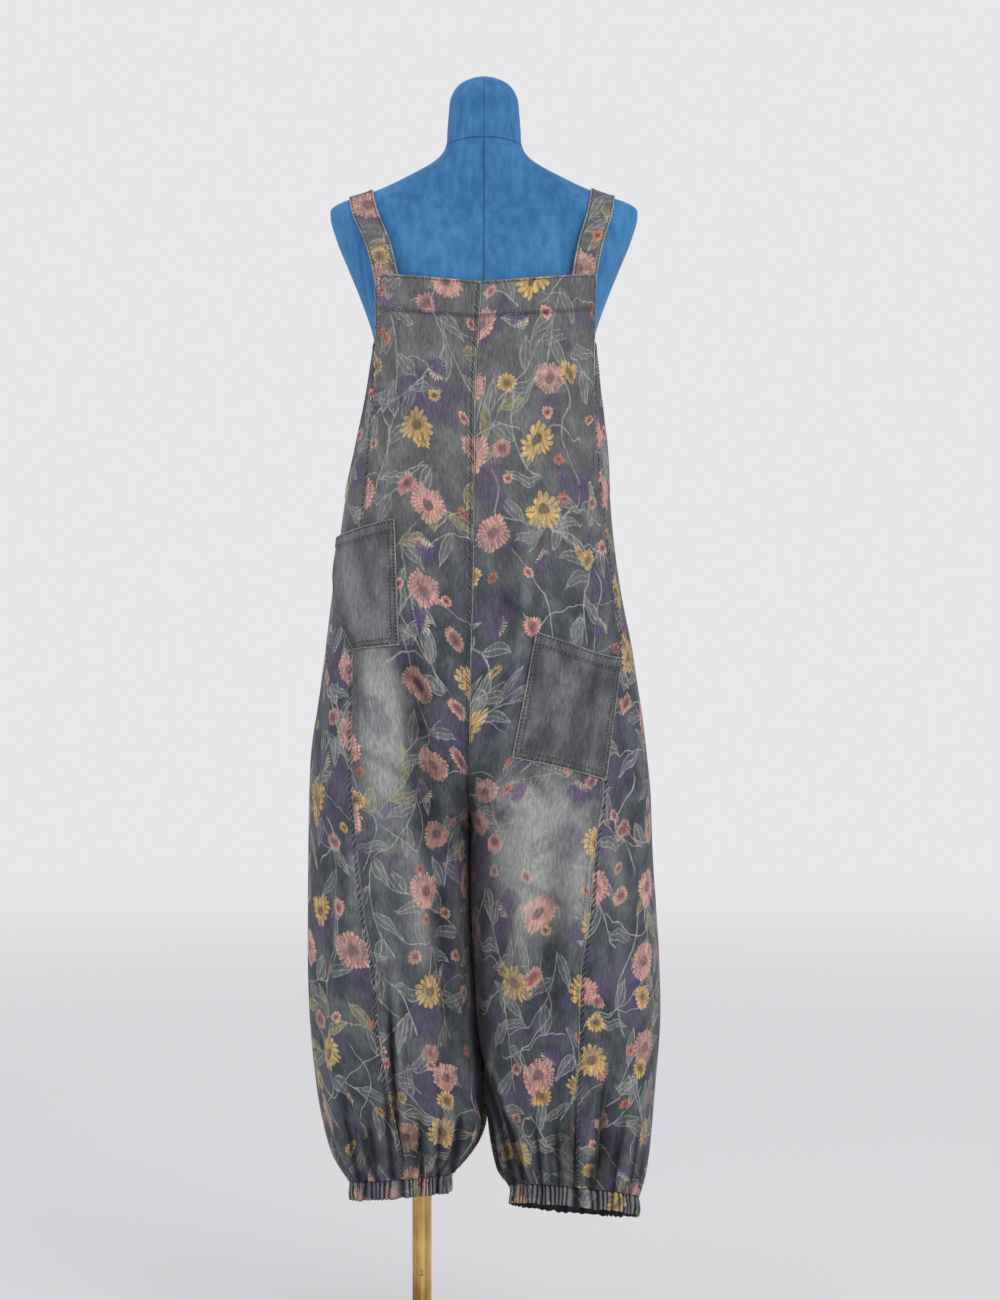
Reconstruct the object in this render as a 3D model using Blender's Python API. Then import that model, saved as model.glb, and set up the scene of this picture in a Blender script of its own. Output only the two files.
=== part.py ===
"""Harem jumpsuit in printed denim, on a limbless dress form with a pole and a round base.

The frame is in metres, +Z up, with the origin under the middle of the base. The garment hangs with its
back towards -Y. Its own centre plane stands GARMENT_X to the right of the pole, because the pole comes
down inside its left leg. Every cloth piece is a thin wall: an outer surface worked out from sections of
the body and legs at each height, an inner surface one cloth thickness behind it, and the rims between.
"""

from collections import namedtuple

import bpy
import numpy as np
from mathutils import Vector
from mathutils.bvhtree import BVHTree

# Driving dimensions, in metres.
GARMENT_X = 0.079
WALL = 0.0016
SEAM_GAP = 0.0005
LEG_GAP = 0.0010
LEG_GAP_FULL_Z = 0.60
ROUNDNESS = 2.3
SIDE_BLEND = 0.02

BIB_TOP_Z = 1.3935
BIB_DIP = 0.013
BACK_EDGE_Z = 1.312
FRONT_BIB_Z = 1.285
ARMHOLE_LOW_Z = 1.128
YOKE_Z = 1.05
SPLIT_START_Z = 0.90
CROTCH_Z = 0.69
HEM_Z = 0.247
TILT_START_Z = 0.45

BACK_COLUMNS = 10
FRONT_COLUMNS = 18
BACK_GATHERS = 16
FRONT_GATHERS = 32
FINE_GATHER = 0.0019
FINE_GATHER_END_Z = 0.31
WIDE_GATHER = 0.0045
WIDE_GATHER_ZS = (0.247, 0.28, 0.30, 0.42)
INSEAM_CALM = 0.35
CALM_SHARE = 0.25
WIDE_PLEAT_COLUMNS = 3
WIDE_PLEAT_DRIFT = 0.8

ARMHOLE_LOW_AT = 0.277
ARMHOLE_BIB_AT = 0.64
ARMHOLE_FALL_POWER = 1.1
ARMHOLE_RISE_POWER = 1.7
BIB_DIP_POWER = 1.2

STRAP_WIDTH = 0.030
STRAP_WALL = 0.0022
STRAP_CLEARANCE = 0.0005

POCKET_LIFT = 0.0010
POCKET_PUFF = 0.0028

POLE_RADIUS = 0.0122
FORM_BOTTOM_Z = 0.80
SOCKET_RADIUS = 0.042
SOCKET_HEIGHT = 0.012
BASE_RADIUS = 0.178
BASE_HEIGHT = 0.009
BOSS_RADIUS = 0.021
BOSS_HEIGHT = 0.034
BUTTON_Z = 0.133
BUTTON_RADIUS = 0.0034
BUTTON_DEPTH = 0.003
REST_GAP = 0.0003

# Each leg and its half of the bib, from the garment's centre plane: how far out the side reaches, where
# the inner edge or centre seam runs, where the outseam runs on the back, and the depth behind and in front.
SECTION_COLUMNS = ("z", "outer", "inner", "outseam", "back", "front")
LEFT_SECTIONS = (
    (1.410, -0.188, -0.0025, -0.1350, 0.098, 0.104),
    (1.370, -0.172, -0.0043, -0.1353, 0.099, 0.112),
    (1.310, -0.160, -0.0080, -0.1360, 0.102, 0.119),
    (1.250, -0.159, -0.0113, -0.1375, 0.106, 0.127),
    (1.190, -0.166, -0.0120, -0.1420, 0.110, 0.134),
    (1.130, -0.1745, -0.0125, -0.1465, 0.114, 0.134),
    (1.060, -0.1840, -0.0130, -0.1530, 0.118, 0.134),
    (0.990, -0.1935, -0.0140, -0.1590, 0.124, 0.134),
    (0.925, -0.2015, -0.0160, -0.1627, 0.130, 0.134),
    (0.860, -0.2100, -0.0168, -0.1627, 0.133, 0.131),
    (0.800, -0.2190, -0.0183, -0.1627, 0.134, 0.129),
    (0.745, -0.2218, -0.0194, -0.1612, 0.134, 0.128),
    (0.690, -0.2228, -0.0150, -0.1560, 0.132, 0.127),
    (0.600, -0.2236, -0.0132, -0.1467, 0.129, 0.125),
    (0.520, -0.2236, -0.0095, -0.1325, 0.127, 0.124),
    (0.450, -0.2210, -0.0045, -0.1283, 0.124, 0.122),
    (0.390, -0.2156, -0.0005, -0.1195, 0.117, 0.116),
    (0.350, -0.2089, 0.0015, -0.1135, 0.107, 0.108),
    (0.310, -0.1990, 0.0030, -0.1060, 0.094, 0.096),
    (0.280, -0.1895, -0.0090, -0.1020, 0.079, 0.082),
    (0.262, -0.1800, -0.0230, -0.1010, 0.065, 0.068),
    (0.247, -0.1711, -0.0363, -0.1000, 0.052, 0.054),
    (0.222, -0.1705, -0.0380, -0.1000, 0.051, 0.053),
)
RIGHT_SECTIONS = (
    (1.410, 0.190, -0.0025, 0.1409, 0.098, 0.104),
    (1.370, 0.172, -0.0043, 0.1400, 0.099, 0.112),
    (1.310, 0.160, -0.0080, 0.1390, 0.102, 0.119),
    (1.250, 0.156, -0.0113, 0.1390, 0.106, 0.127),
    (1.190, 0.158, -0.0120, 0.1410, 0.110, 0.134),
    (1.130, 0.1595, -0.0125, 0.1450, 0.114, 0.134),
    (1.060, 0.1655, -0.0130, 0.1530, 0.118, 0.134),
    (0.990, 0.1755, -0.0140, 0.1640, 0.124, 0.134),
    (0.925, 0.1885, -0.0160, 0.1700, 0.130, 0.134),
    (0.860, 0.1975, -0.0168, 0.1590, 0.133, 0.131),
    (0.800, 0.2050, -0.0183, 0.1515, 0.134, 0.129),
    (0.745, 0.2108, -0.0194, 0.1475, 0.134, 0.128),
    (0.690, 0.2125, -0.0150, 0.1390, 0.132, 0.127),
    (0.600, 0.2187, -0.0132, 0.1315, 0.129, 0.125),
    (0.520, 0.2232, -0.0095, 0.1200, 0.127, 0.124),
    (0.450, 0.2240, -0.0045, 0.1185, 0.124, 0.122),
    (0.390, 0.2190, 0.0005, 0.1165, 0.117, 0.116),
    (0.350, 0.2140, 0.0035, 0.1156, 0.107, 0.108),
    (0.310, 0.2085, 0.0065, 0.1150, 0.090, 0.094),
    (0.280, 0.2045, 0.0125, 0.1150, 0.073, 0.078),
    (0.262, 0.2005, 0.0185, 0.1150, 0.057, 0.061),
    (0.247, 0.1968, 0.0306, 0.1150, 0.042, 0.044),
    (0.222, 0.1975, 0.0306, 0.1150, 0.041, 0.043),
)

# The long soft folds: a ridge where height is above zero and a trough where it is below. Each runs from
# its top through its middle to its end, at these distances from the centre plane.
Fold = namedtuple("Fold", "z_top x_top x_mid z_end x_end half_width height")
BACK_FOLDS = (
    (1.130, 0.057, 0.047, 0.800, 0.020, 0.015, 0.0080),
    (1.120, 0.040, 0.029, 0.790, 0.004, 0.013, -0.0060),
    (0.960, -0.100, -0.075, 0.640, -0.052, 0.018, -0.0110),
    (0.670, -0.056, -0.048, 0.400, -0.030, 0.012, -0.0090),
    (0.700, -0.086, -0.078, 0.500, -0.068, 0.015, 0.0070),
    (0.720, -0.166, -0.178, 0.360, -0.192, 0.013, 0.0060),
    (0.720, -0.184, -0.195, 0.360, -0.207, 0.011, -0.0060),
    (0.720, -0.126, -0.122, 0.420, -0.112, 0.011, 0.0060),
    (0.990, -0.140, -0.143, 0.860, -0.146, 0.010, 0.0050),
    (0.900, 0.178, 0.190, 0.620, 0.196, 0.014, 0.0060),
    (0.760, 0.060, 0.048, 0.470, 0.036, 0.016, 0.0060),
    (0.740, 0.102, 0.086, 0.420, 0.080, 0.015, -0.0080),
    (0.560, 0.150, 0.156, 0.340, 0.163, 0.012, 0.0060),
    (0.420, 0.120, 0.132, 0.300, 0.138, 0.010, -0.0050),
)
FRONT_FOLDS = (
    (1.100, -0.060, -0.050, 0.780, -0.026, 0.016, 0.0070),
    (1.080, 0.052, 0.046, 0.800, 0.016, 0.014, 0.0070),
    (0.930, 0.110, 0.082, 0.620, 0.058, 0.018, -0.0100),
    (0.900, -0.120, -0.090, 0.600, -0.064, 0.017, -0.0090),
    (0.740, -0.150, -0.160, 0.380, -0.150, 0.014, 0.0070),
    (0.700, -0.050, -0.044, 0.430, -0.036, 0.013, -0.0070),
    (0.720, 0.160, 0.172, 0.400, 0.170, 0.014, 0.0070),
    (0.690, 0.104, 0.098, 0.440, 0.086, 0.015, 0.0060),
    (0.520, 0.052, 0.060, 0.320, 0.072, 0.012, -0.0060),
)

# How uneven the fine pleats are: waves added to their height, each with a size, a rate and a start.
PLEAT_UNEVENNESS = ((0.35, 2.4, 0.0), (0.25, 5.1, 1.0))

# The hems of the two legs tilt: how much each drops, how it rises towards +X, and how it falls to the front.
Hem = namedtuple("Hem", "drop rise_x fall_y middle_x")
HEMS = {-1: Hem(-0.0065, 0.085, 0.10, -0.1035), 1: Hem(0.0124, -0.095, 0.30, 0.1137)}

# Rows of the panels below the yoke, top to bottom: plain ones, and gathered ones with twice the columns.
PLAIN_ROWS = (
    1.05, 0.99, 0.93, 0.87, 0.81, 0.765, 0.735, 0.712, 0.69, 0.63, 0.57, 0.51, 0.455, 0.405,
)
GATHERED_ROWS = (0.362, 0.326, 0.298, 0.276, 0.260, 0.247)
YOKE_STEPS = 6
BIB_ROWS = (1.355,)

CuffRow = namedtuple("CuffRow", "drop swell")
CUFF_ROWS = ((0.0005, 0.0008), (0.0080, -0.0022), (0.0165, -0.0012), (0.0240, 0.0030))

# The form, neck to base: half width, depth behind and in front, and how far forward its middle lies.
FormRow = namedtuple("FormRow", "z half_width back front forward")
FORM_SECTIONS = (
    (1.6555, 0.0060, 0.0060, 0.0065, 0.012),
    (1.6543, 0.0125, 0.0125, 0.0135, 0.012),
    (1.6522, 0.0190, 0.0190, 0.0205, 0.012),
    (1.6497, 0.0246, 0.0246, 0.0266, 0.012),
    (1.6460, 0.0308, 0.0308, 0.0333, 0.012),
    (1.6395, 0.0370, 0.0372, 0.0402, 0.012),
    (1.6300, 0.0418, 0.0424, 0.0462, 0.011),
    (1.6073, 0.0452, 0.0455, 0.0490, 0.010),
    (1.5856, 0.0468, 0.0465, 0.0500, 0.008),
    (1.5665, 0.0486, 0.0475, 0.0515, 0.007),
    (1.5556, 0.0537, 0.0495, 0.0525, 0.005),
    (1.5474, 0.0618, 0.0500, 0.0530, 0.005),
    (1.5393, 0.0740, 0.0500, 0.0530, 0.004),
    (1.5285, 0.0944, 0.0490, 0.0520, 0.003),
    (1.5176, 0.1160, 0.0485, 0.0510, 0.002),
    (1.5096, 0.1340, 0.0475, 0.0495, 0.002),
    (1.5000, 0.1600, 0.0460, 0.0480, 0.001),
    (1.4940, 0.1780, 0.0465, 0.0485, 0.0),
    (1.4880, 0.1905, 0.0490, 0.0510, 0.0),
    (1.4830, 0.1950, 0.0515, 0.0535, 0.0),
    (1.4760, 0.1955, 0.0550, 0.0570, 0.0),
    (1.4460, 0.1879, 0.0680, 0.0700, 0.0),
    (1.4065, 0.1720, 0.0840, 0.0860, 0.0),
    (1.3670, 0.1560, 0.0900, 0.1000, 0.0),
    (1.3237, 0.1414, 0.0920, 0.1080, 0.0),
    (1.2500, 0.1340, 0.0900, 0.1100, 0.0),
    (1.1800, 0.1280, 0.0830, 0.1030, 0.0),
    (1.1150, 0.1230, 0.0780, 0.0940, 0.0),
    (1.0300, 0.1400, 0.0900, 0.0970, 0.0),
    (0.9300, 0.1600, 0.1000, 0.0970, 0.0),
    (0.8600, 0.1580, 0.0990, 0.0930, 0.0),
    (0.8060, 0.1500, 0.0930, 0.0880, 0.0),
    (0.8000, 0.1440, 0.0880, 0.0830, 0.0),
)
FORM_SIDES = 28
NECK_FOOT_Z = 1.5

# Straps: where each leaves the back bib, crosses the shoulder and meets the front bib.
StrapPath = namedtuple("StrapPath", "back_x shoulder_x front_x")
STRAP_PATHS = {-1: StrapPath(-0.1197, -0.1560, -0.1020), 1: StrapPath(0.1240, 0.1510, 0.1020)}
STRAP_TURN_Z = 1.435
STRAP_STEPS = 24
STRAP_COLUMNS = 3
STRAP_TOUCH_SHARE = 0.75
STRAP_LEAVE_SHARE = 0.2

# Pocket corners on the panel: distance from the centre plane and height. One that lies past the leg's
# side turns back in on the front.
Corner = namedtuple("Corner", "name x z")
LEFT_POCKET = (
    ("top_outer", -0.1850, 1.0660),
    ("top_inner", -0.1090, 1.0860),
    ("bottom_inner", -0.1040, 0.9300),
    ("bottom_outer", -0.1600, 0.9240),
)
RIGHT_POCKET = (
    ("top_outer", 0.1700, 0.9140),
    ("top_inner", 0.0630, 0.9457),
    ("bottom_inner", 0.0357, 0.7921),
    ("bottom_outer", 0.1500, 0.7625),
)
POCKET_SAG = 0.006
POCKET_SAG_LEAN = 1.4
POCKET_MOUTH_SHARE = 0.12
POCKET_STEPS = (12, 12)

# Colours of the pieces, with roughness and metallic value.
Finish = namedtuple("Finish", "colour roughness metallic")
FINISHES = {
    "printed_denim": ((0.13, 0.15, 0.18), 0.90, 0.0),
    "plain_denim": ((0.14, 0.14, 0.15), 0.90, 0.0),
    "velvet": ((0.03, 0.15, 0.37), 0.85, 0.0),
    "brass": ((0.55, 0.36, 0.13), 0.25, 1.0),
    "steel": ((0.35, 0.35, 0.36), 0.35, 1.0),
}


def smooth_curve(knots, values):
    """A function through the values: cubic between knots, its slope at each taken from the neighbours."""
    order = np.argsort(knots)
    knots, values = np.array(knots)[order], np.array(values)[order]
    slopes = np.gradient(values, knots)

    def at(place):
        place = np.clip(place, knots[0], knots[-1])
        i = np.clip(np.searchsorted(knots, place) - 1, 0, len(knots) - 2)
        span = knots[i + 1] - knots[i]
        t = (place - knots[i]) / span
        start = values[i] * (1 + 2 * t) * (1 - t) ** 2 + slopes[i] * span * t * (1 - t) ** 2
        end = values[i + 1] * t**2 * (3 - 2 * t) + slopes[i + 1] * span * t**2 * (t - 1)
        return start + end

    return at


def table_curves(columns, rows):
    """One smooth function of the first column for each of the others, by name."""
    table = np.array(rows, float)
    return {name: smooth_curve(table[:, 0], table[:, i]) for i, name in enumerate(columns) if i}


SECTIONS = {
    -1: table_curves(SECTION_COLUMNS, LEFT_SECTIONS),
    1: table_curves(SECTION_COLUMNS, RIGHT_SECTIONS),
}


def ramp(value, start, end):
    """0 before start, 1 after end, smooth between."""
    t = np.clip((value - start) / (end - start), 0, 1)
    return t * t * (3 - 2 * t)


def leg_split(z):
    """0 where both halves make one body section, 1 where each is a whole leg."""
    return ramp(-z, -SPLIT_START_Z, -CROTCH_Z)


def section_of(side, z):
    """The half's middle, half width and the angle of its inner edge."""
    inner = SECTIONS[side]["inner"](z)
    width = np.abs(SECTIONS[side]["outer"](z) - inner)
    split = leg_split(z)
    half = width / (1 + split)
    inner_angle = np.arccos(-(split ** (ROUNDNESS / 2)))
    return inner + side * split * half, half, inner_angle


def angle_of(side, x, z):
    """The angle, on the back, of the point this far from the centre plane. The side of the leg is 0."""
    middle, half, _ = section_of(side, z)
    share = np.clip(side * (x - middle) / half, -1, 1)
    return -np.arccos(np.sign(share) * np.abs(share) ** (ROUNDNESS / 2))


def angle_past_side(side, x, z):
    """As angle_of, but an x past the leg's side turns back in on the front, by as much as it is past."""
    outer = SECTIONS[side]["outer"](z)
    past = side * (x - outer) > 0
    return np.where(past, -angle_of(side, 2 * outer - x, z), angle_of(side, x, z))


def angle_on(side, face, z, u):
    """The angle at u, which runs from centre back to outseam on the back and on to centre front."""
    _, _, inner_angle = section_of(side, z)
    outseam = angle_of(side, SECTIONS[side]["outseam"](z), z)
    if face == "back":
        return -inner_angle + (outseam + inner_angle) * u
    return outseam + (inner_angle - outseam) * u


def fold_height(face, x, z):
    """The sum of the long folds at this place: a bell across each fold, faded at its two ends."""
    total = np.zeros(np.broadcast(x, z).shape)
    for fold in map(Fold._make, BACK_FOLDS if face == "back" else FRONT_FOLDS):
        t = (fold.z_top - z) / (fold.z_top - fold.z_end)
        path = fold.x_top * (1 - t) * (1 - 2 * t) + fold.x_mid * 4 * t * (1 - t)
        path = path + fold.x_end * t * (2 * t - 1)
        fade = ramp(t, 0.0, 0.25) * (1 - ramp(t, 0.75, 1.0))
        total += fold.height * fade * np.exp(-(((x - path) / fold.half_width) ** 2))
    return total


def gather_height(face, z, u):
    """Pleats that open upwards from the cuff: one crest or trough at each column, uneven in size."""
    count = BACK_GATHERS if face == "back" else FRONT_GATHERS
    column = count * u
    calm = CALM_SHARE + (1 - CALM_SHARE) * ramp(u if face == "back" else 1 - u, 0, INSEAM_CALM)
    uneven = calm * (1 + sum(size * np.sin(rate * column + start) for size, rate, start in PLEAT_UNEVENNESS))
    fine = FINE_GATHER * (1 - ramp(z, HEM_Z + 0.01, FINE_GATHER_END_Z)) * uneven * np.cos(np.pi * column)
    start, full, fading, end = WIDE_GATHER_ZS
    wide = WIDE_GATHER * ramp(z, start, full) * (1 - ramp(z, fading, end))
    return fine + wide * np.cos(np.pi * column / WIDE_PLEAT_COLUMNS + WIDE_PLEAT_DRIFT * np.sin(3 * u))


def tilt_hem(side, x, y, z):
    """The drop of the hem's tilted plane, which fades out up the leg."""
    hem = HEMS[side]
    share = 1 - ramp(z, HEM_Z, TILT_START_Z)
    return z + share * (hem.rise_x * (x - hem.middle_x) - hem.fall_y * y - hem.drop)


def cloth_point(side, face, z, u, swell=0.0):
    """The garment's outer surface: a rounded section at height z, moved out by its folds and gathers."""
    angle = angle_on(side, face, z, u)
    middle, half, _ = section_of(side, z)
    back, front = SECTIONS[side]["back"](z), SECTIONS[side]["front"](z)
    depth = np.where(angle < 0, back, front)
    across = np.sign(np.cos(angle)) * np.abs(np.cos(angle)) ** (2 / ROUNDNESS)
    along = np.sign(np.sin(angle)) * np.abs(np.sin(angle)) ** (2 / ROUNDNESS)
    x, y = middle + side * half * across, depth * along
    out_x = side * np.sign(across) * np.abs(across) ** (ROUNDNESS - 1) / half
    out_y = np.sign(along) * np.abs(along) ** (ROUNDNESS - 1) / depth
    length = np.hypot(out_x, out_y)
    share_back = ramp(-y, -SIDE_BLEND, SIDE_BLEND)
    folds = share_back * fold_height("back", x, z) + (1 - share_back) * fold_height("front", x, z)
    lift = folds + gather_height(face, z, u) + swell
    x, y = x + lift * out_x / length, y + lift * out_y / length
    return np.stack([keep_to_side(side, x, z), y, tilt_hem(side, x, y, z)], axis=-1)


def keep_to_side(side, x, z):
    """Holds a point on its own side of the centre seam, or of the gap between the legs."""
    gap = SEAM_GAP + (LEG_GAP - SEAM_GAP) * ramp(-z, -CROTCH_Z, -LEG_GAP_FULL_Z)
    inner = SECTIONS[side]["inner"](z)
    return inner + side * np.maximum(side * (x - inner), gap / 2)


def cloth_round(side, z, turn, swell):
    """The outer surface at turn: 0 to 1 over the back, 1 to 2 over the front, and on round a whole leg."""
    turn = np.where(z <= CROTCH_Z, np.mod(turn, 2), np.clip(turn, 0, 2))
    on_back = cloth_point(side, "back", z, np.clip(turn, 0, 1), swell)
    on_front = cloth_point(side, "front", z, np.clip(turn - 1, 0, 1), swell)
    return np.where((turn <= 1)[..., None], on_back, on_front)


def cloth_frame(side, face, z, u, swell=0.0):
    """A point of the outer surface with its unit normal and the unit direction of growing u."""
    step_u, step_z = 0.004, 0.001
    turn = u + (0 if face == "back" else 1)
    point = cloth_point(side, face, z, u, swell)
    along = cloth_round(side, z, turn + step_u, swell) - cloth_round(side, z, turn - step_u, swell)
    up = cloth_point(side, face, z + step_z, u, swell) - cloth_point(side, face, z - step_z, u, swell)
    normal = side * np.cross(along, up)
    normal /= np.linalg.norm(normal, axis=-1, keepdims=True)
    along /= np.linalg.norm(along, axis=-1, keepdims=True)
    return point, normal, along


def wall_rows(side, face, rows, swell=0.0):
    """Outer and inner points of each row, its two ends drawn back from the seams by half a gap."""
    outer, inner = [], []
    for z, u in rows:
        point, normal, along = cloth_frame(side, face, z, u, swell)
        shift = np.zeros(len(u))
        shift[0], shift[-1] = SEAM_GAP / 2, -SEAM_GAP / 2
        point = point + shift[:, None] * along
        behind = point - WALL * normal
        behind[:, 0] = keep_to_side(side, behind[:, 0], z)
        outer.append(point)
        inner.append(behind)
    inner[-1] = level_with_hem(side, inner[-1], rows[-1][0])
    return outer, inner


def level_with_hem(side, behind, z):
    """Inner points of a rim put at the height of the hem's tilted plane, so that two rims lie parallel."""
    return np.stack([behind[:, 0], behind[:, 1], tilt_hem(side, behind[:, 0], behind[:, 1], z)], axis=-1)


def strip(first, second, first_at, second_at):
    """Triangles between two rows of point numbers, taking the next point on whichever row lags."""
    faces = []
    i, j = 0, 0
    while i < len(first) - 1 or j < len(second) - 1:
        i_next = first_at[i + 1] if i < len(first) - 1 else np.inf
        j_next = second_at[j + 1] if j < len(second) - 1 else np.inf
        if j_next <= i_next + 1e-9:
            faces.append((first[i], second[j], second[j + 1]))
            j += 1
        else:
            faces.append((first[i], second[j], first[i + 1]))
            i += 1
    return faces


def wall_mesh(outer, inner, closed=False):
    """Points and triangles of a wall between two stacks of rows, whose rows may differ in length."""
    counts = [len(row) for row in outer]
    starts = np.concatenate([[0], np.cumsum(counts)])
    total = starts[-1]
    points = np.concatenate(list(outer) + list(inner))
    numbers = [np.arange(starts[k], starts[k + 1]) for k in range(len(counts))]
    places = [np.linspace(0, 1, count + (1 if closed else 0)) for count in counts]
    if closed:
        numbers = [np.append(row, row[0]) for row in numbers]
    faces = []
    for k in range(len(counts) - 1):
        for a, b, c in strip(numbers[k], numbers[k + 1], places[k], places[k + 1]):
            faces += [(a, b, c), (a + total, c + total, b + total)]
    rims = [numbers[0], numbers[-1][::-1]]
    if not closed:
        rims += [np.array([row[0] for row in numbers])[::-1], np.array([row[-1] for row in numbers])]
    for rim in rims:
        for a, b in zip(rim[:-1], rim[1:]):
            faces += [(a, b, b + total), (a, b + total, a + total)]
    return points, np.array(faces)


def material(name):
    """The finish of that name, made once."""
    if name in bpy.data.materials:
        return bpy.data.materials[name]
    finish = Finish._make(FINISHES[name])
    made = bpy.data.materials.new(name)
    made.use_nodes = True
    shader = made.node_tree.nodes["Principled BSDF"]
    shader.inputs["Base Color"].default_value = (*finish.colour, 1)
    shader.inputs["Roughness"].default_value = finish.roughness
    shader.inputs["Metallic"].default_value = finish.metallic
    made.diffuse_color = (*finish.colour, 1)
    return made


def add_object(name, points, faces, finish, smooth=40):
    """A mesh object whose faces point out, in its own material, smooth below this angle in degrees."""
    corners = points[faces]
    volume = np.einsum("ij,ij->i", corners[:, 0], np.cross(corners[:, 1], corners[:, 2])).sum()
    mesh = bpy.data.meshes.new(name)
    mesh.from_pydata(points.tolist(), [], (faces if volume > 0 else faces[:, ::-1]).tolist())
    mesh.shade_smooth()
    mesh.set_sharp_from_angle(angle=np.radians(smooth))
    mesh.materials.append(material(finish))
    made = bpy.data.objects.new(name, mesh)
    bpy.context.collection.objects.link(made)
    return made


def place_garment(points):
    """From the garment's own centre plane to the frame of the whole part."""
    return points + np.array([GARMENT_X, 0, 0])


def front_top(u):
    """The height of the front panel's upper edge: from the back seam under the arm and up to the bib."""
    under = np.sin(np.pi / 2 * np.clip(u / ARMHOLE_LOW_AT, 0, 1)) ** ARMHOLE_FALL_POWER
    past_low = (u - ARMHOLE_LOW_AT) / (ARMHOLE_BIB_AT - ARMHOLE_LOW_AT)
    rise = np.clip(past_low, 0, 1) ** ARMHOLE_RISE_POWER
    return BACK_EDGE_Z - (BACK_EDGE_Z - ARMHOLE_LOW_Z) * under + (FRONT_BIB_Z - ARMHOLE_LOW_Z) * rise


def back_top(u):
    """The height of the back bib's upper edge, which dips to the centre seam."""
    return BIB_TOP_Z - BIB_DIP * (1 - u) ** BIB_DIP_POWER


def panel_rows(face):
    """The rows of a panel, top to bottom, each with its heights and its places across."""
    count = BACK_COLUMNS if face == "back" else FRONT_COLUMNS
    u = np.linspace(0, 1, count + 1)
    rows = []
    if face == "back":
        edge = np.full(count + 1, BACK_EDGE_Z)
        rows += [(back_top(u), u)] + [(np.full(count + 1, z), u) for z in BIB_ROWS]
    else:
        edge = front_top(u)
    for k in range(YOKE_STEPS, 0, -1):
        rows.append((YOKE_Z + (edge - YOKE_Z) * k / YOKE_STEPS, u))
    rows += [(np.full(count + 1, z), u) for z in PLAIN_ROWS]
    fine = np.linspace(0, 1, (BACK_GATHERS if face == "back" else FRONT_GATHERS) + 1)
    rows += [(np.full(len(fine), z), fine) for z in GATHERED_ROWS]
    return rows


def add_panel(side, face):
    """One of the four large pieces, from its upper edge to the hem."""
    outer, inner = wall_rows(side, face, panel_rows(face))
    points, faces = wall_mesh(outer, inner)
    name = f"{face}_{'left' if side < 0 else 'right'}_panel"
    return add_object(name, place_garment(points), faces, "printed_denim")


def add_cuff(side):
    """The gathered ring under the leg: drawn in by its elastic and flared again at its edge."""
    outer, inner = [], []
    for row in map(CuffRow._make, CUFF_ROWS):
        points, behind = [], []
        for face, count in (("back", BACK_GATHERS), ("front", FRONT_GATHERS)):
            u = np.linspace(0, 1, count + 1)[:-1]
            z = np.full(count, HEM_Z - row.drop)
            point, normal, _ = cloth_frame(side, face, z, u, row.swell)
            points.append(point)
            behind.append(level_with_hem(side, point - WALL * normal, z))
        outer.append(np.concatenate(points))
        inner.append(np.concatenate(behind))
    points, faces = wall_mesh(outer, inner, closed=True)
    name = f"cuff_{'left' if side < 0 else 'right'}"
    return add_object(name, place_garment(points), faces, "printed_denim")


def tree_of(*objects):
    """One search tree over the faces of these objects, to find where a line meets them."""
    points, faces = [], []
    for made in objects:
        start = len(points)
        points += [vertex.co.copy() for vertex in made.data.vertices]
        faces += [[start + i for i in face.vertices] for face in made.data.polygons]
    return BVHTree.FromPolygons(points, faces)


def cast(tree, origins, directions, reach=1.0):
    """How far each line runs from its origin to where it first meets the tree, or NaN where it slips by."""
    lengths = [tree.ray_cast(Vector(o), Vector(d), reach)[3] for o, d in zip(origins, directions)]
    return np.array([np.nan if length is None else length for length in lengths])


def height_over(tree, point, normal, reach=0.03):
    """How far the panels' faces stand above (or below) each point, along its normal."""
    origins = (point + reach * normal).reshape(-1, 3)
    return reach - cast(tree, origins, -normal.reshape(-1, 3), 2 * reach).reshape(point.shape[:-1])


def highest_near(height):
    """Each place takes the greatest height among itself and its neighbours."""
    padded = np.pad(height, 1, mode="edge")
    rows, columns = height.shape
    shifts = [(i, j) for i in range(3) for j in range(3)]
    return np.nanmax([padded[i : i + rows, j : j + columns] for i, j in shifts], axis=0)


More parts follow.
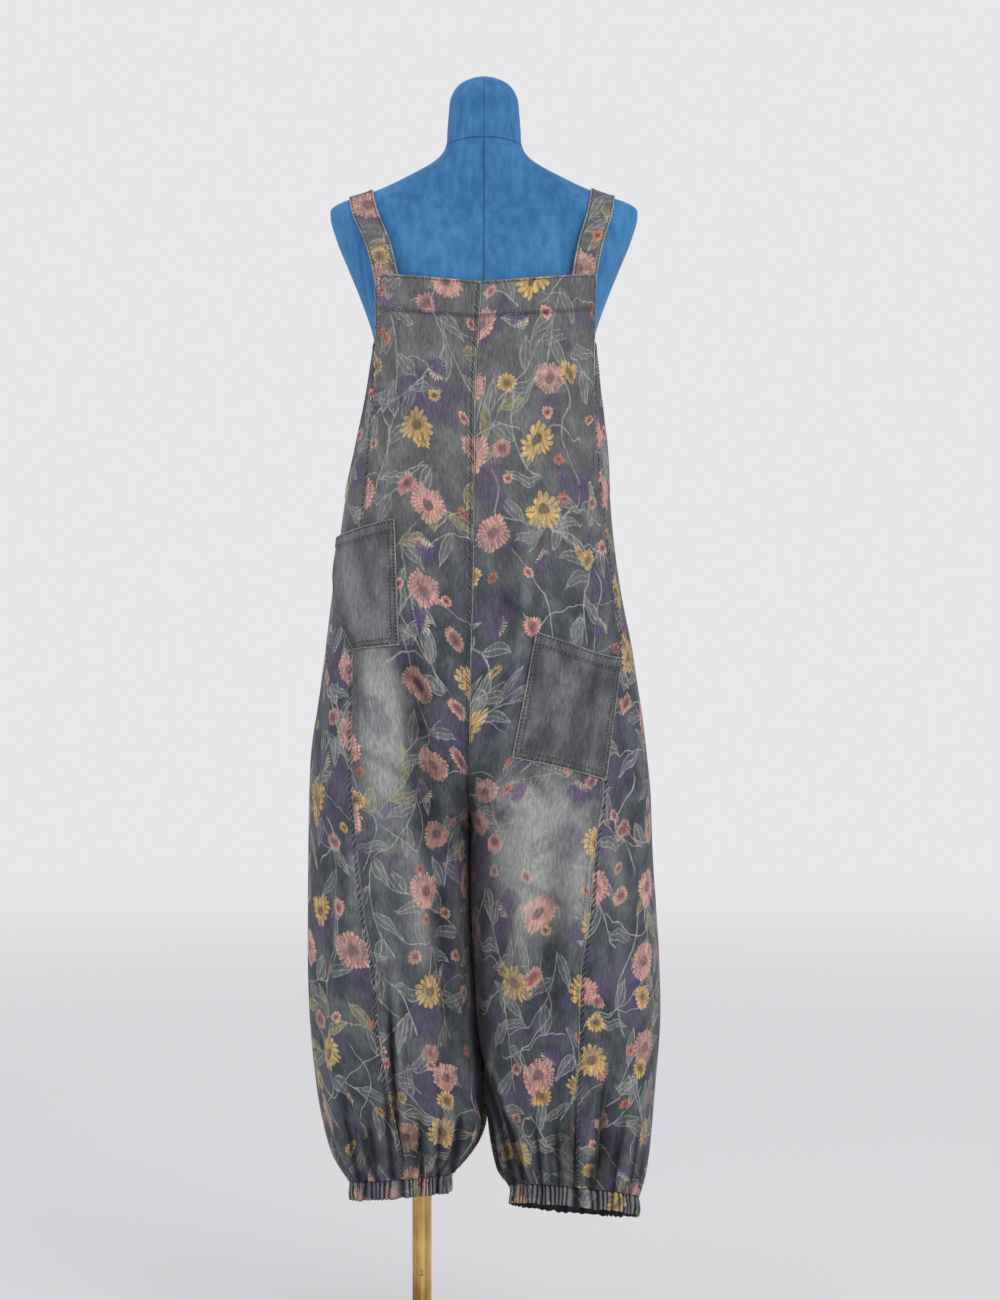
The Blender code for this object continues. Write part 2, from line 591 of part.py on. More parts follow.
def add_pocket(name, side, corners, panels):
    """A patch laid on the panels: its points are found on them and moved out, more in the middle."""
    across, down = POCKET_STEPS
    places = {corner.name: np.array([corner.x, corner.z]) for corner in map(Corner._make, corners)}
    top_outer, top_inner = places["top_outer"], places["top_inner"]
    bottom_inner, bottom_outer = places["bottom_inner"], places["bottom_outer"]
    s, t = np.meshgrid(np.linspace(0, 1, 2 * across + 1), np.linspace(0, 1, 2 * down + 1))
    inner_x, inner_z = ((1 - t)[..., None] * top_inner + t[..., None] * bottom_inner).T.swapaxes(1, 2)
    outer_x, outer_z = ((1 - t)[..., None] * top_outer + t[..., None] * bottom_outer).T.swapaxes(1, 2)
    inner_end, outer_end = angle_past_side(side, inner_x, inner_z), angle_past_side(side, outer_x, outer_z)
    if side * (top_outer[0] - SECTIONS[side]["outer"](top_outer[1])) > 0:
        outer_end = (1 - t) * outer_end[0] + t * outer_end[-1]
    angle = (1 - s) * inner_end + s * outer_end
    z = (1 - s) * inner_z + s * outer_z - POCKET_SAG * np.sin(np.pi * s**POCKET_SAG_LEAN) * (1 - t) ** 2
    outseam = angle_of(side, SECTIONS[side]["outseam"](z), z)
    _, _, inner_angle = section_of(side, z)
    on_back = (angle < outseam)[..., None]
    u_back = np.clip((angle + inner_angle) / (outseam + inner_angle), 0, 1)
    u_front = np.clip((angle - outseam) / (inner_angle - outseam), 0, 1)
    point_b, normal_b, _ = cloth_frame(side, "back", z, u_back)
    point_f, normal_f, _ = cloth_frame(side, "front", z, u_front)
    point = place_garment(np.where(on_back, point_b, point_f))
    normal = np.where(on_back, normal_b, normal_f)
    height = height_over(tree_of(*panels), point, normal)
    puff = np.sin(np.pi * s) * np.sin(np.pi * np.clip(t, POCKET_MOUTH_SHARE, 1)) ** 0.5
    height = (highest_near(height) + POCKET_LIFT + POCKET_PUFF * puff)[::2, ::2, None]
    behind = point[::2, ::2] + height * normal[::2, ::2]
    before = behind + WALL * normal[::2, ::2]
    points, faces = wall_mesh(list(before), list(behind))
    return add_object(name, points, faces, "plain_denim")


def bib_depth(side, face, x, z):
    """How far behind or in front of the centre the bib's outer surface lies at x."""
    middle, half, _ = section_of(side, z)
    share = np.clip(np.abs(x - middle) / half, 0, 1)
    return SECTIONS[side][face](z) * (1 - share**ROUNDNESS) ** (1 / ROUNDNESS)


def add_strap(side, form):
    """A ribbon from back bib to front bib, laid over the form's shoulder and lifted off it at both ends."""
    path = STRAP_PATHS[side]
    start_z, end_z = BIB_TOP_Z + SEAM_GAP, FRONT_BIB_Z + SEAM_GAP
    across = np.linspace(-STRAP_WIDTH / 2, STRAP_WIDTH / 2, 2 * STRAP_COLUMNS + 1)
    first = -bib_depth(side, "back", path.back_x + across, start_z) + WALL / 2
    last = bib_depth(side, "front", path.front_x + across, end_z) - WALL / 2
    angle_0 = np.arctan2(start_z - STRAP_TURN_Z, -first)
    angle_1 = np.pi - np.arctan2(end_z - STRAP_TURN_Z, last)
    share = np.linspace(0, 1, 2 * STRAP_STEPS + 1)[:, None]
    angle = angle_0 + (angle_1 - angle_0) * share
    peak = (np.pi / 2 - angle_0) / (angle_1 - angle_0)
    climbed = (np.sin(angle) - np.sin(angle_0)) / (1 - np.sin(angle_0))
    rising = path.back_x + (path.shoulder_x - path.back_x) * climbed
    falling = path.shoulder_x + (path.front_x - path.shoulder_x) * ramp(share, peak, 1)
    x = np.where(share < peak, rising, falling) + across + GARMENT_X
    ray = np.stack([np.zeros(angle.shape), -np.cos(angle), np.sin(angle)], axis=-1)
    centre = np.stack([x, np.zeros(x.shape), np.full(x.shape, STRAP_TURN_Z)], axis=-1)
    length = cast(tree_of(form), centre.reshape(-1, 3), ray.reshape(-1, 3)).reshape(x.shape)
    reach = highest_near(length) + STRAP_CLEARANCE
    lift_0 = np.hypot(first, start_z - STRAP_TURN_Z) - STRAP_WALL / 2 - reach[0]
    lift_1 = np.hypot(last, end_z - STRAP_TURN_Z) - STRAP_WALL / 2 - reach[-1]
    reach = reach + lift_0 * (1 - ramp(share, 0, STRAP_TOUCH_SHARE * peak))
    reach = reach + lift_1 * ramp(share, peak + STRAP_LEAVE_SHARE, 1)
    below = (centre + reach[..., None] * ray)[::2, ::2]
    normal = np.cross(np.gradient(below, axis=1), np.gradient(below, axis=0))
    normal /= np.linalg.norm(normal, axis=-1, keepdims=True)
    outward = np.einsum("ijk,ijk->ij", normal, below - below.mean(axis=(0, 1))).mean()
    above = below + np.sign(outward) * STRAP_WALL * normal
    points, faces = wall_mesh(list(above), list(below))
    return add_object(f"strap_{'left' if side < 0 else 'right'}", points, faces, "printed_denim")


def ring_loft(rings):
    """Points and triangles of a closed body through rings of equal length, capped at both ends."""
    count = len(rings[0])
    points = np.concatenate(rings)
    first, last = points[:count].mean(axis=0), points[-count:].mean(axis=0)
    points = np.concatenate([points, [first, last]])
    faces = []
    for k in range(len(rings) - 1):
        for j in range(count):
            a, b = k * count + j, k * count + (j + 1) % count
            faces += [(a, b, b + count), (a, b + count, a + count)]
    top, bottom, start = len(points) - 2, len(points) - 1, (len(rings) - 1) * count
    for j in range(count):
        faces.append((top, (j + 1) % count, j))
        faces.append((bottom, start + j, start + (j + 1) % count))
    return points, np.array(faces)


def add_form():
    """The torso with its neck: a rounded section at each height, domed over at the top."""
    turn = np.linspace(0, 2 * np.pi, FORM_SIDES, endpoint=False)
    rings = []
    for row in map(FormRow._make, FORM_SECTIONS):
        roundness = ROUNDNESS if row.z < NECK_FOOT_Z else 2.0
        across = np.sign(np.cos(turn)) * np.abs(np.cos(turn)) ** (2 / roundness)
        along = np.sign(np.sin(turn)) * np.abs(np.sin(turn)) ** (2 / roundness)
        depth = np.where(along < 0, row.back, row.front)
        x, y = row.half_width * across, depth * along + row.forward
        rings.append(np.stack([x, y, np.full(FORM_SIDES, row.z)], axis=-1))
    points, faces = ring_loft(rings)
    return add_object("form_body", place_garment(points), faces, "velvet", smooth=60)


def add_turned(name, profile, finish, sides=32, turn_to_back=False):
    """A turned piece about the pole's axis, from (radius, height) pairs."""
    turn = np.linspace(0, 2 * np.pi, sides, endpoint=False)
    circle = np.stack([np.cos(turn), np.sin(turn)], axis=-1)
    rings = [np.concatenate([radius * circle, np.full((sides, 1), z)], axis=1) for radius, z in profile]
    points, faces = ring_loft(rings)
    if turn_to_back:
        points = points[:, [0, 2, 1]] * np.array([1, -1, 1])
    return add_object(name, points, faces, finish)


def add_stand():
    """The round base with its boss, the pole, its small button and the socket under the form."""
    bevel = 0.002
    base = (
        (BOSS_RADIUS - bevel, BOSS_HEIGHT),
        (BOSS_RADIUS, BOSS_HEIGHT - bevel),
        (BOSS_RADIUS, BASE_HEIGHT + 3 * bevel),
        (BOSS_RADIUS + 2 * bevel, BASE_HEIGHT),
        (BASE_RADIUS - bevel, BASE_HEIGHT),
        (BASE_RADIUS, BASE_HEIGHT - bevel),
        (BASE_RADIUS, 0),
    )
    add_turned("base", base, "steel", sides=48)
    socket_bottom = FORM_BOTTOM_Z - REST_GAP - SOCKET_HEIGHT
    pole = ((POLE_RADIUS, socket_bottom - REST_GAP), (POLE_RADIUS, BOSS_HEIGHT + REST_GAP))
    add_turned("pole", pole, "brass")
    socket = (
        (SOCKET_RADIUS, FORM_BOTTOM_Z - REST_GAP),
        (SOCKET_RADIUS, socket_bottom + bevel),
        (SOCKET_RADIUS - bevel, socket_bottom),
    )
    add_turned("form_socket", socket, "steel")
    back = POLE_RADIUS + REST_GAP
    button = (
        (BUTTON_RADIUS, back),
        (BUTTON_RADIUS, back + BUTTON_DEPTH * 0.6),
        (BUTTON_RADIUS * 0.6, back + BUTTON_DEPTH),
    )
    made = add_turned("pole_button", button, "brass", sides=12, turn_to_back=True)
    made.location.z = BUTTON_Z


def main():
    for old in list(bpy.data.objects):
        bpy.data.objects.remove(old, do_unlink=True)
    panels = {(side, face): add_panel(side, face) for side in (-1, 1) for face in ("back", "front")}
    for side in (-1, 1):
        add_cuff(side)
    form = add_form()
    for side in (-1, 1):
        add_strap(side, form)
    add_pocket("pocket_left", -1, LEFT_POCKET, [panels[-1, "back"], panels[-1, "front"]])
    add_pocket("pocket_right", 1, RIGHT_POCKET, [panels[1, "back"], panels[1, "front"]])
    add_stand()


main()
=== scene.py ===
# %% [markdown]
# Harem jumpsuit in printed denim, on a velvet dress form
#
# A bib jumpsuit with very wide legs hangs on a limbless dress form, seen from its back. The solids of the
# frame already hold every piece at its real size. This file dresses them: cloth as thin shells that follow
# the same sections, with seams, pleats, stitches and a flower print worked out in the shader.

import bpy
import numpy as np
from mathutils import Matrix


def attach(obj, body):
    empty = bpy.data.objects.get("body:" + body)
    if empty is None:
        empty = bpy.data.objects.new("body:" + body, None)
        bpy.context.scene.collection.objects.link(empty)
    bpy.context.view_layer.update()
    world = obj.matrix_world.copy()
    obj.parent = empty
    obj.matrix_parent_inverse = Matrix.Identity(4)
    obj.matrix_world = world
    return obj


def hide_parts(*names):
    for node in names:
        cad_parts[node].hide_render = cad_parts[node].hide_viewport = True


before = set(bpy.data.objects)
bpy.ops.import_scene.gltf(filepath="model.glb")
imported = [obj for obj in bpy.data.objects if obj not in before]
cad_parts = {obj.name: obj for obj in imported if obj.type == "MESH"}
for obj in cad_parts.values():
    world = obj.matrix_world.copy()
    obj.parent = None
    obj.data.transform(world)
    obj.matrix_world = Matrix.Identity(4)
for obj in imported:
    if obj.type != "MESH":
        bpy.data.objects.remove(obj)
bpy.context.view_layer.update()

print("frame holds", sorted(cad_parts))

# %% [markdown]
# Camera, floor and light
#
# The photograph is taken level, from 3.6 m behind the garment, with the stand's foot under the picture's
# edge. One pixel at the pole is 1.27 mm, which fixes the lens. A pale round floor fades into a pale world,
# so no horizon shows, and two large soft lamps stand for the studio's windows.

# %% Camera and studio
GARMENT_X = 0.079
CAMERA_X = GARMENT_X + 0.0204
CAMERA_DISTANCE = 3.6
CAMERA_Z = 0.9236
PIXEL_SIZE = 0.0012739
PHOTO_HEIGHT = 1300

scene = bpy.context.scene
scene.view_settings.view_transform = "Standard"
lens = bpy.data.cameras.new("camera")
lens.lens = lens.sensor_width * CAMERA_DISTANCE / (PHOTO_HEIGHT * PIXEL_SIZE)
camera = bpy.data.objects.new("camera", lens)
camera.location = (CAMERA_X, -CAMERA_DISTANCE, CAMERA_Z)
camera.rotation_euler = (np.pi / 2, 0, 0)
scene.collection.objects.link(camera)
scene.camera = camera
print("lens", round(lens.lens, 1), "mm")


def srgb(red, green, blue):
    """A colour given as it looks on a screen, 0 to 255, turned into the light values that shaders use."""
    share = np.array([red, green, blue]) / 255
    return (*np.where(share <= 0.04045, share / 12.92, ((share + 0.055) / 1.055) ** 2.4).tolist(), 1.0)


def soft_lamp(name, place, aim, size, watts, colour):
    """A square lamp that looks from its place towards its aim."""
    lamp = bpy.data.lights.new(name, "AREA")
    lamp.size, lamp.energy, lamp.color = size, watts, colour
    made = bpy.data.objects.new(name, lamp)
    scene.collection.objects.link(made)
    made.location = place
    towards = np.array(aim) - np.array(place)
    flat = np.hypot(towards[0], towards[1])
    made.rotation_euler = (np.arctan2(flat, -towards[2]), 0, np.arctan2(-towards[0], towards[1]))
    return made


WORLD_COLOUR = srgb(231, 231, 234)
world = bpy.data.worlds.new("pale room")
world.use_nodes = True
world.node_tree.nodes["Background"].inputs["Color"].default_value = WORLD_COLOUR
world.node_tree.nodes["Background"].inputs["Strength"].default_value = 1.0
scene.world = world
middle = (GARMENT_X, 0, 0.95)
soft_lamp("window", (1.9, -2.6, 2.3), middle, 1.6, 26, (1.0, 0.985, 0.96))
soft_lamp("far window", (-2.4, -2.0, 1.5), middle, 1.8, 8, (0.95, 0.98, 1.0))

# %% [markdown]
# Sums for shaders
#
# A shader node can add, multiply or compare. Written one by one, hundreds of them hide the idea, so a wire
# here is a small wrapper round a node's output on which Python's own signs work: `1 - mask * 0.5` makes the
# two nodes that it needs.

# %% Wires and graphs


class Wire:
    """One output of a shader node, which can be used in sums."""

    def __init__(self, graph, socket):
        self.graph, self.socket = graph, socket

    def math(self, operation, *others):
        """A Math node of that operation, with this wire as its first value."""
        values = dict(enumerate((self, *others)))
        return self.graph.node("Math", {"operation": operation}, values)

    def of(self, name):
        """Another output of the same node."""
        return Wire(self.graph, self.socket.node.outputs[name])

    def __add__(self, other):
        return self.math("ADD", other)

    __radd__ = __add__

    def __sub__(self, other):
        return self.math("SUBTRACT", other)

    def __rsub__(self, other):
        return self * -1 + other

    def __mul__(self, other):
        return self.math("MULTIPLY", other)

    __rmul__ = __mul__

    def __truediv__(self, other):
        return self.math("DIVIDE", other)

    def __pow__(self, other):
        return self.math("POWER", other)

    def __gt__(self, other):
        return self.math("GREATER_THAN", other)

    def __lt__(self, other):
        return self.math("LESS_THAN", other)

    def __abs__(self):
        return self.math("ABSOLUTE")


class Graph:
    """A material and the one method that adds nodes to it."""

    def __init__(self, name):
        self.material = bpy.data.materials.new(name)
        self.material.use_nodes = True
        self.tree = self.material.node_tree
        self.shader = self.tree.nodes["Principled BSDF"]

    def node(self, kind, settings=(), inputs=(), out=0):
        """A node of this kind: its settings first, then values or wires for its sockets."""
        made = self.tree.nodes.new("ShaderNode" + kind)
        for name, value in dict(settings).items():
            setattr(made, name, value)
        for name, value in dict(inputs).items():
            self.feed(made.inputs[name], value)
        return Wire(self, made.outputs[out])

    def feed(self, socket, value):
        """Puts a wire or a plain value into a socket."""
        if isinstance(value, Wire):
            self.tree.links.new(value.socket, socket)
        else:
            socket.default_value = value[:3] if socket.type == "VECTOR" else value

    def finish(self, roughness, **varying):
        """Feeds the shader and returns the material."""
        self.shader.inputs["Roughness"].default_value = roughness
        for name, value in varying.items():
            self.feed(self.shader.inputs[name.replace("_", " ")], value)
        return self.material

    def mix(self, share, below, above):
        """One colour over another, by this share."""
        return self.node("Mix", {"data_type": "RGBA"}, {0: share, 6: below, 7: above}, out=2)

    def tint(self, colour, factor):
        """A colour made lighter or darker by a number."""
        return self.node("VectorMath", {"operation": "SCALE"}, {0: colour, "Scale": factor})

    def soft(self, value, low, high):
        """0 below low and 1 above high, smooth between, or the other way round where high is the lower."""
        sockets = {"Value": value, "From Min": low, "From Max": high}
        return self.node("MapRange", {"interpolation_type": "SMOOTHSTEP"}, sockets)

    def noise(self, place, scale, detail=2.0, dimensions="3D"):
        """Cloudy noise between 0 and 1."""
        sockets = {"Vector": place, "Scale": scale, "Detail": detail}
        return self.node("TexNoise", {"noise_dimensions": dimensions}, sockets)

    def stretch(self, place, factors):
        """A place with each axis multiplied by its own factor."""
        return self.node("VectorMath", {"operation": "MULTIPLY"}, {0: place, 1: factors})

    def bump(self, height, distance, strength=1.0):
        """A normal bent by this height, whose full range is this distance."""
        sockets = {"Height": height, "Distance": distance, "Strength": strength}
        return self.node("Bump", {}, sockets)


print("a wire knows", [name for name in vars(Wire) if name.startswith("__") and name != "__init__"][:6])

# %% [markdown]
# The print
#
# The cloth carries daisies as wide as a thumb is long, smaller round flowers, sprigs of outlined leaves and
# thin stems between them. It could be an image, but an image goes soft close up. Here the cloth's own flat
# coordinates are cut into cells, one motif in each, turned and coloured by chance. A petal comes from the
# angle round the motif's middle, a leaf from the distance to a bent line.

# %% One motif in each cell
EDGE_BLUR = 0.0003
PETAL_CHANCES = 37
PETAL_UNEVEN = 0.16
GAP_ACROSS, GAP_REACH, GAP_DEPTH = (0.70, 0.98), (0.34, 0.62), 0.75
EYE_REACH = (0.30, 0.25)
LEAF_LINE, RIB_LINE, STEM_LINE = (0.0020, 0.0010), (0.0009, 0.0004), (0.0012, 0.0006)
HATCH_PITCH, HATCH_SLANT = 0.0042, 0.55
LEAF_LENGTH, LEAF_WIDTH, LEAF_LEAN = 1.42, 0.23, 0.62


def cells(graph, place, size, shift, looseness):
    """Cuts the cloth into cells. The wires are the place x, y from the motif's middle, and three chances."""
    sockets = {0: place, 1: (1 / size,) * 3, 2: (shift, 0.7 * shift, 0)}
    scaled = graph.node("VectorMath", {"operation": "MULTIPLY_ADD"}, sockets)
    settings = {"voronoi_dimensions": "2D", "feature": "F1"}
    sockets = {"Vector": scaled, "Scale": 1.0, "Randomness": looseness}
    found = graph.node("TexVoronoi", settings, sockets, out="Position")
    away = graph.node("VectorMath", {"operation": "SUBTRACT"}, {0: scaled, 1: found})
    chances = graph.node("SeparateColor", {}, {0: found.of("Color")})
    angle = chances.of("Blue") * (2 * np.pi)
    turned = graph.node("VectorRotate", {"rotation_type": "Z_AXIS"}, {"Vector": away, "Angle": angle})
    local = graph.node("SeparateXYZ", {}, {0: graph.tint(turned, size)})
    return local, local.of("Y"), chances, chances.of("Green"), chances.of("Blue")


def flower(graph, x, y, chance, radius, petals, point):
    """Petals round a middle: their edge lies at the radius, less towards the gap between two petals.
    The wires are the petals' mask, the eye's mask, the place across a petal and the share of the radius."""
    reach = (x * x + y * y) ** 0.5
    turn = (y.math("ARCTAN2", x) / (2 * np.pi) + 1) * petals
    across = abs(turn.math("FRACT") - 0.5) * 2
    number = turn.math("FLOOR") + chance * PETAL_CHANCES
    uneven = graph.node("TexWhiteNoise", {"noise_dimensions": "1D"}, {"W": number})
    edge = (1 - across * across * point - uneven * PETAL_UNEVEN) * radius
    inside = graph.soft(reach - edge, EDGE_BLUR, -EDGE_BLUR)
    share = reach / radius
    gap = graph.soft(across, *GAP_ACROSS) * graph.soft(share, *GAP_REACH)
    return inside * (1 - gap * GAP_DEPTH), graph.soft(share, *EYE_REACH), across, share


def leaf(graph, x, y, length, width):
    """A lens from the origin along x: its half width is a bow over its length. The wires are the pale
    outline with its middle rib, and the fill, a slanted hatching that is fuller on one side of the rib."""
    t = x / length
    half = t * (1 - t) * (1.25 - t * 0.5) * (4 * width)
    depth = half - abs(y)
    outline = graph.soft(depth, -0.0002, 0.0004) * graph.soft(depth, *LEAF_LINE)
    rib = graph.soft(abs(y), *RIB_LINE) * graph.soft(depth, 0.0, 0.0004)
    stroke = ((abs(y) + x * HATCH_SLANT) / HATCH_PITCH).math("FRACT")
    hatch = graph.soft(abs(stroke - 0.5), 0.34, 0.14)
    fill = graph.soft(depth, 0.0002, 0.0008) * ((y > 0) * 0.30 + 0.25 + hatch * 0.40)
    return outline.math("MAXIMUM", rib) * 0.85, fill.math("MINIMUM", 0.85)


def sprig(graph, x, y, bend, reach, spacing):
    """A bent stem with leaves on both sides by turns. Each side's leaves repeat at twice the spacing."""
    y = y - x * x * bend
    end = graph.soft(abs(x), reach, reach - 0.004)
    line = graph.soft(abs(y), *STEM_LINE) * end
    fill = line * 0.0
    lean_x, lean_y = np.cos(LEAF_LEAN), np.sin(LEAF_LEAN)
    for side, start in ((1, 20.0), (-1, 20.5)):
        along = (x / (2 * spacing) + start).math("FRACT") * (2 * spacing)
        up = y * side
        leaf_x = along * lean_x + up * lean_y
        leaf_y = up * lean_x - along * lean_y
        edge, body = leaf(graph, leaf_x, leaf_y, LEAF_LENGTH * spacing, LEAF_WIDTH * spacing)
        shown = end * graph.soft(up, -0.0004, 0.0)
        line = line.math("MAXIMUM", edge * shown)
        fill = fill.math("MAXIMUM", body * shown)
    return line, fill


# %% [markdown]
# The print's layers
#
# A printer lays colours one over another, so the shader does the same: purple haze, stems, leaves, small
# flowers, large flowers. Each layer has cells of its own size, so the repeat never lines up. The flowers are
# ordinary daisies in yellow, salmon and violet, drawn from scratch.

# %% Layers of the print
YELLOW, OCHRE = srgb(226, 190, 118), srgb(178, 136, 72)
SALMON, ROSE = srgb(224, 172, 158), srgb(186, 108, 108)
VIOLET, PLUM, CREAM = srgb(116, 102, 140), srgb(80, 68, 104), srgb(226, 206, 178)
PEACH, CORAL = srgb(228, 176, 154), srgb(210, 126, 88)
EYE, EYE_DOT = srgb(74, 77, 84), srgb(140, 132, 112)
STEM, LEAF_FILL, OLIVE = srgb(170, 172, 167), srgb(134, 137, 134), srgb(176, 164, 96)
HAZE = srgb(92, 81, 110)

# Each layer's cells: their size, their shift, and how loosely the motifs lie in them.
LARGE_CELLS = (0.100, 3.3, 0.55)
MIDDLE_CELLS = (0.078, 11.3, 0.60)
SMALL_CELLS = (0.060, 7.9, 0.62)
SPRIG_SIZE, SPRIG_SHIFTS, SPRIG_LOOSENESS = 0.200, (1.7, 5.2, 9.4, 13.9, 17.3), 0.42
SPRIG_BEND, SPRIG_REACH, LEAF_SPACING = 12, 0.064, 0.033
# Each layer of stems: their spacing, how the noise that bends them is stretched, and their shift.
STEM_LAYERS = ((0.090, (0.6, 1.0, 1.0), 0.1), (0.115, (1.0, 0.6, 1.0), 0.6))


def eye_over(graph, below, eye, place):
    """A dark middle with a scatter of pale dots."""
    dots = graph.node("TexVoronoi", {"voronoi_dimensions": "2D"}, {"Vector": place, "Scale": 480.0})
    return graph.mix(eye, below, graph.mix(graph.soft(dots, 0.32, 0.20) * 0.7, EYE, EYE_DOT))


def large_flowers(graph, below, place, faint):
    """Daisies about 47 mm wide: yellow ones with pointed petals, and salmon ones with many fine ones."""
    x, y, kind, size, spin = cells(graph, place, *LARGE_CELLS)
    salmon = kind > 0.42
    radius = size * 0.006 + 0.0205
    petals, eye, across, reach = flower(graph, x, y, spin, radius, 15 + salmon * 9, 0.30 - salmon * 0.20)
    light = graph.mix(salmon, YELLOW, SALMON)
    deep = graph.mix(salmon, OCHRE, ROSE)
    streak = graph.soft(across, 1.0, 0.55) * 0.6 + graph.soft(reach, 0.22, 0.50) * 0.4
    shown = graph.soft(size, 0.90, 0.89)
    below = graph.mix(petals * shown * faint, below, graph.mix(streak, deep, light))
    return eye_over(graph, below, eye * shown * faint, place)


def middle_flowers(graph, below, place, faint):
    """Flowers about 28 mm wide: salmon rings, yellow stars, and violet asters, cream on one side."""
    x, y, kind, size, spin = cells(graph, place, *MIDDLE_CELLS)
    yellow, violet = kind > 0.34, kind > 0.62
    radius = size * 0.005 + 0.0125
    petals, eye, across, reach = flower(graph, x, y, spin, radius, 18 - yellow * 4 + violet * 6, 0.22)
    cream = graph.soft(y / radius, -0.20, -0.55) * graph.soft(across, 0.75, 0.35)
    violets = graph.mix(cream, graph.mix(graph.soft(across, 0.2, 0.8), PLUM, VIOLET), CREAM)
    light = graph.mix(violet, graph.mix(yellow, SALMON, YELLOW), violets)
    deep = graph.mix(violet, graph.mix(yellow, ROSE, OCHRE), violets)
    shown = graph.soft(size, 0.66, 0.65)
    colour = graph.mix(graph.soft(reach, 0.35, 0.68), deep, light)
    below = graph.mix(petals * shown * faint, below, colour)
    return eye_over(graph, below, eye * shown * faint * (1 - violet * 0.6), place)


def small_flowers(graph, below, place, faint):
    """Round flowers about 17 mm wide, peach, coral or yellow, some with a ragged edge."""
    x, y, kind, size, spin = cells(graph, place, *SMALL_CELLS)
    coral, yellow = kind > 0.42, kind > 0.74
    radius = size * 0.005 + 0.0072
    petals, eye, across, reach = flower(graph, x, y, spin, radius, 9 + yellow * 3, 0.16 + coral * 0.22)
    light = graph.mix(yellow, graph.mix(coral, PEACH, CORAL), YELLOW)
    deep = graph.mix(yellow, ROSE, OCHRE)
    shown = graph.soft(size, 0.56, 0.55)
    colour = graph.mix(graph.soft(reach, 0.30, 0.66), deep, light)
    below = graph.mix(petals * shown * faint, below, colour)
    return graph.mix(eye * shown * faint * 0.9, below, EYE)


def leaf_sprigs(graph, below, place, shift, faint):
    """Bent sprigs with outlined leaves, grey green or, one in five, olive."""
    x, y, kind, size, _ = cells(graph, place, SPRIG_SIZE, shift, SPRIG_LOOSENESS)
    line, fill = sprig(graph, x, y, (kind - 0.5) * SPRIG_BEND, SPRIG_REACH, LEAF_SPACING)
    olive = graph.soft(size, 0.77, 0.78) * 0.8
    shown = graph.soft(size, 0.95, 0.94)
    below = graph.mix(fill * shown * faint, below, graph.mix(olive, LEAF_FILL, OLIVE))
    return graph.mix(line * shown * faint, below, graph.mix(olive * 0.6, STEM, OLIVE))


def stems(graph, below, place, spacing, stretch, shift):
    """Lines that wander over the cloth, each broken here and there."""
    bent = graph.noise(graph.stretch(place, stretch), 9.0, 0.0)
    axis = graph.node("SeparateXYZ", {}, {0: place}, out="X" if stretch[0] < stretch[1] else "Y")
    across = abs((axis / spacing + bent * 1.9 + shift).math("FRACT") - 0.5) * spacing
    gaps = graph.soft(graph.noise(place, 11.0, 0.0), 0.45, 0.51)
    return graph.mix(graph.soft(across, *STEM_LINE) * gaps * 0.78, below, STEM)


def printed(graph, cloth, place):
    """The whole print over the cloth's own colour, thinner where the wash has taken it."""
    wobble = graph.noise(place, 95.0, 1.0, "2D").of("Color")
    sockets = {0: wobble, 1: (0.0020,) * 3, 2: place}
    place = graph.node("VectorMath", {"operation": "MULTIPLY_ADD"}, sockets)
    washed = graph.noise(graph.stretch(place, (1.0, 0.4, 1.0)), 230.0, 3.0, "2D")
    faint = graph.soft(washed, 0.72, 0.34) * 0.48 + 0.46
    faint = faint * (graph.soft(graph.noise(place, 21.0, 1.0, "2D"), 0.32, 0.62) * 0.35 + 0.65)
    haze = graph.soft(graph.noise(place, 15.0, 1.0), 0.54, 0.64)
    colour = graph.mix(haze * 0.62, cloth, HAZE)
    for spacing, stretch, shift in STEM_LAYERS:
        colour = stems(graph, colour, place, spacing, stretch, shift)
    for shift in SPRIG_SHIFTS:
        colour = leaf_sprigs(graph, colour, place, shift, faint)
    for layer in (small_flowers, middle_flowers, large_flowers):
        colour = layer(graph, colour, place, faint)
    return colour


# %% [markdown]
# Denim
#
# Denim is a twill: blue-black warp over a pale weft, so it shows fine slanted lines, long uneven yarns and
# pale wear wherever it is folded or rubbed. The cloth's own map gives the weave. Three more values stored on
# the mesh say how far a point is from its seams, how worn it is, with painted highlight on the ridges of
# folds and ruffles, and how much painted shade it gets in creases, pleats, gathers, between the legs and
# along sewn lines. So every seam has its pale worn edge and its rows of dark dashes, partly dye and partly
# painted shade, and every crease its painted shade.

# %% The denim materials
WARP, WARP_BIB, FADED = srgb(66, 71, 79), srgb(100, 102, 103), srgb(170, 172, 168)
PLAIN, PLAIN_LIGHT = srgb(78, 80, 84), srgb(146, 148, 150)
# The dashes' dark is partly dye kept in the puckers' hollows and partly painted shade along the stitch rows.
DASH_DYE_AND_SHADE, WORN_EDGE = srgb(34, 37, 44), srgb(178, 170, 156)
INSIDE, GLIMMER = srgb(58, 56, 60), srgb(104, 56, 54)
TWILL_PITCH, TWILL_SLANT = 0.0011, (0.55, 0.83)
BUMP_DEPTH = 0.0009
# Painted shade at its darkest takes off this share of the colour.
DARKEST_PAINTED_SHADE = 0.80
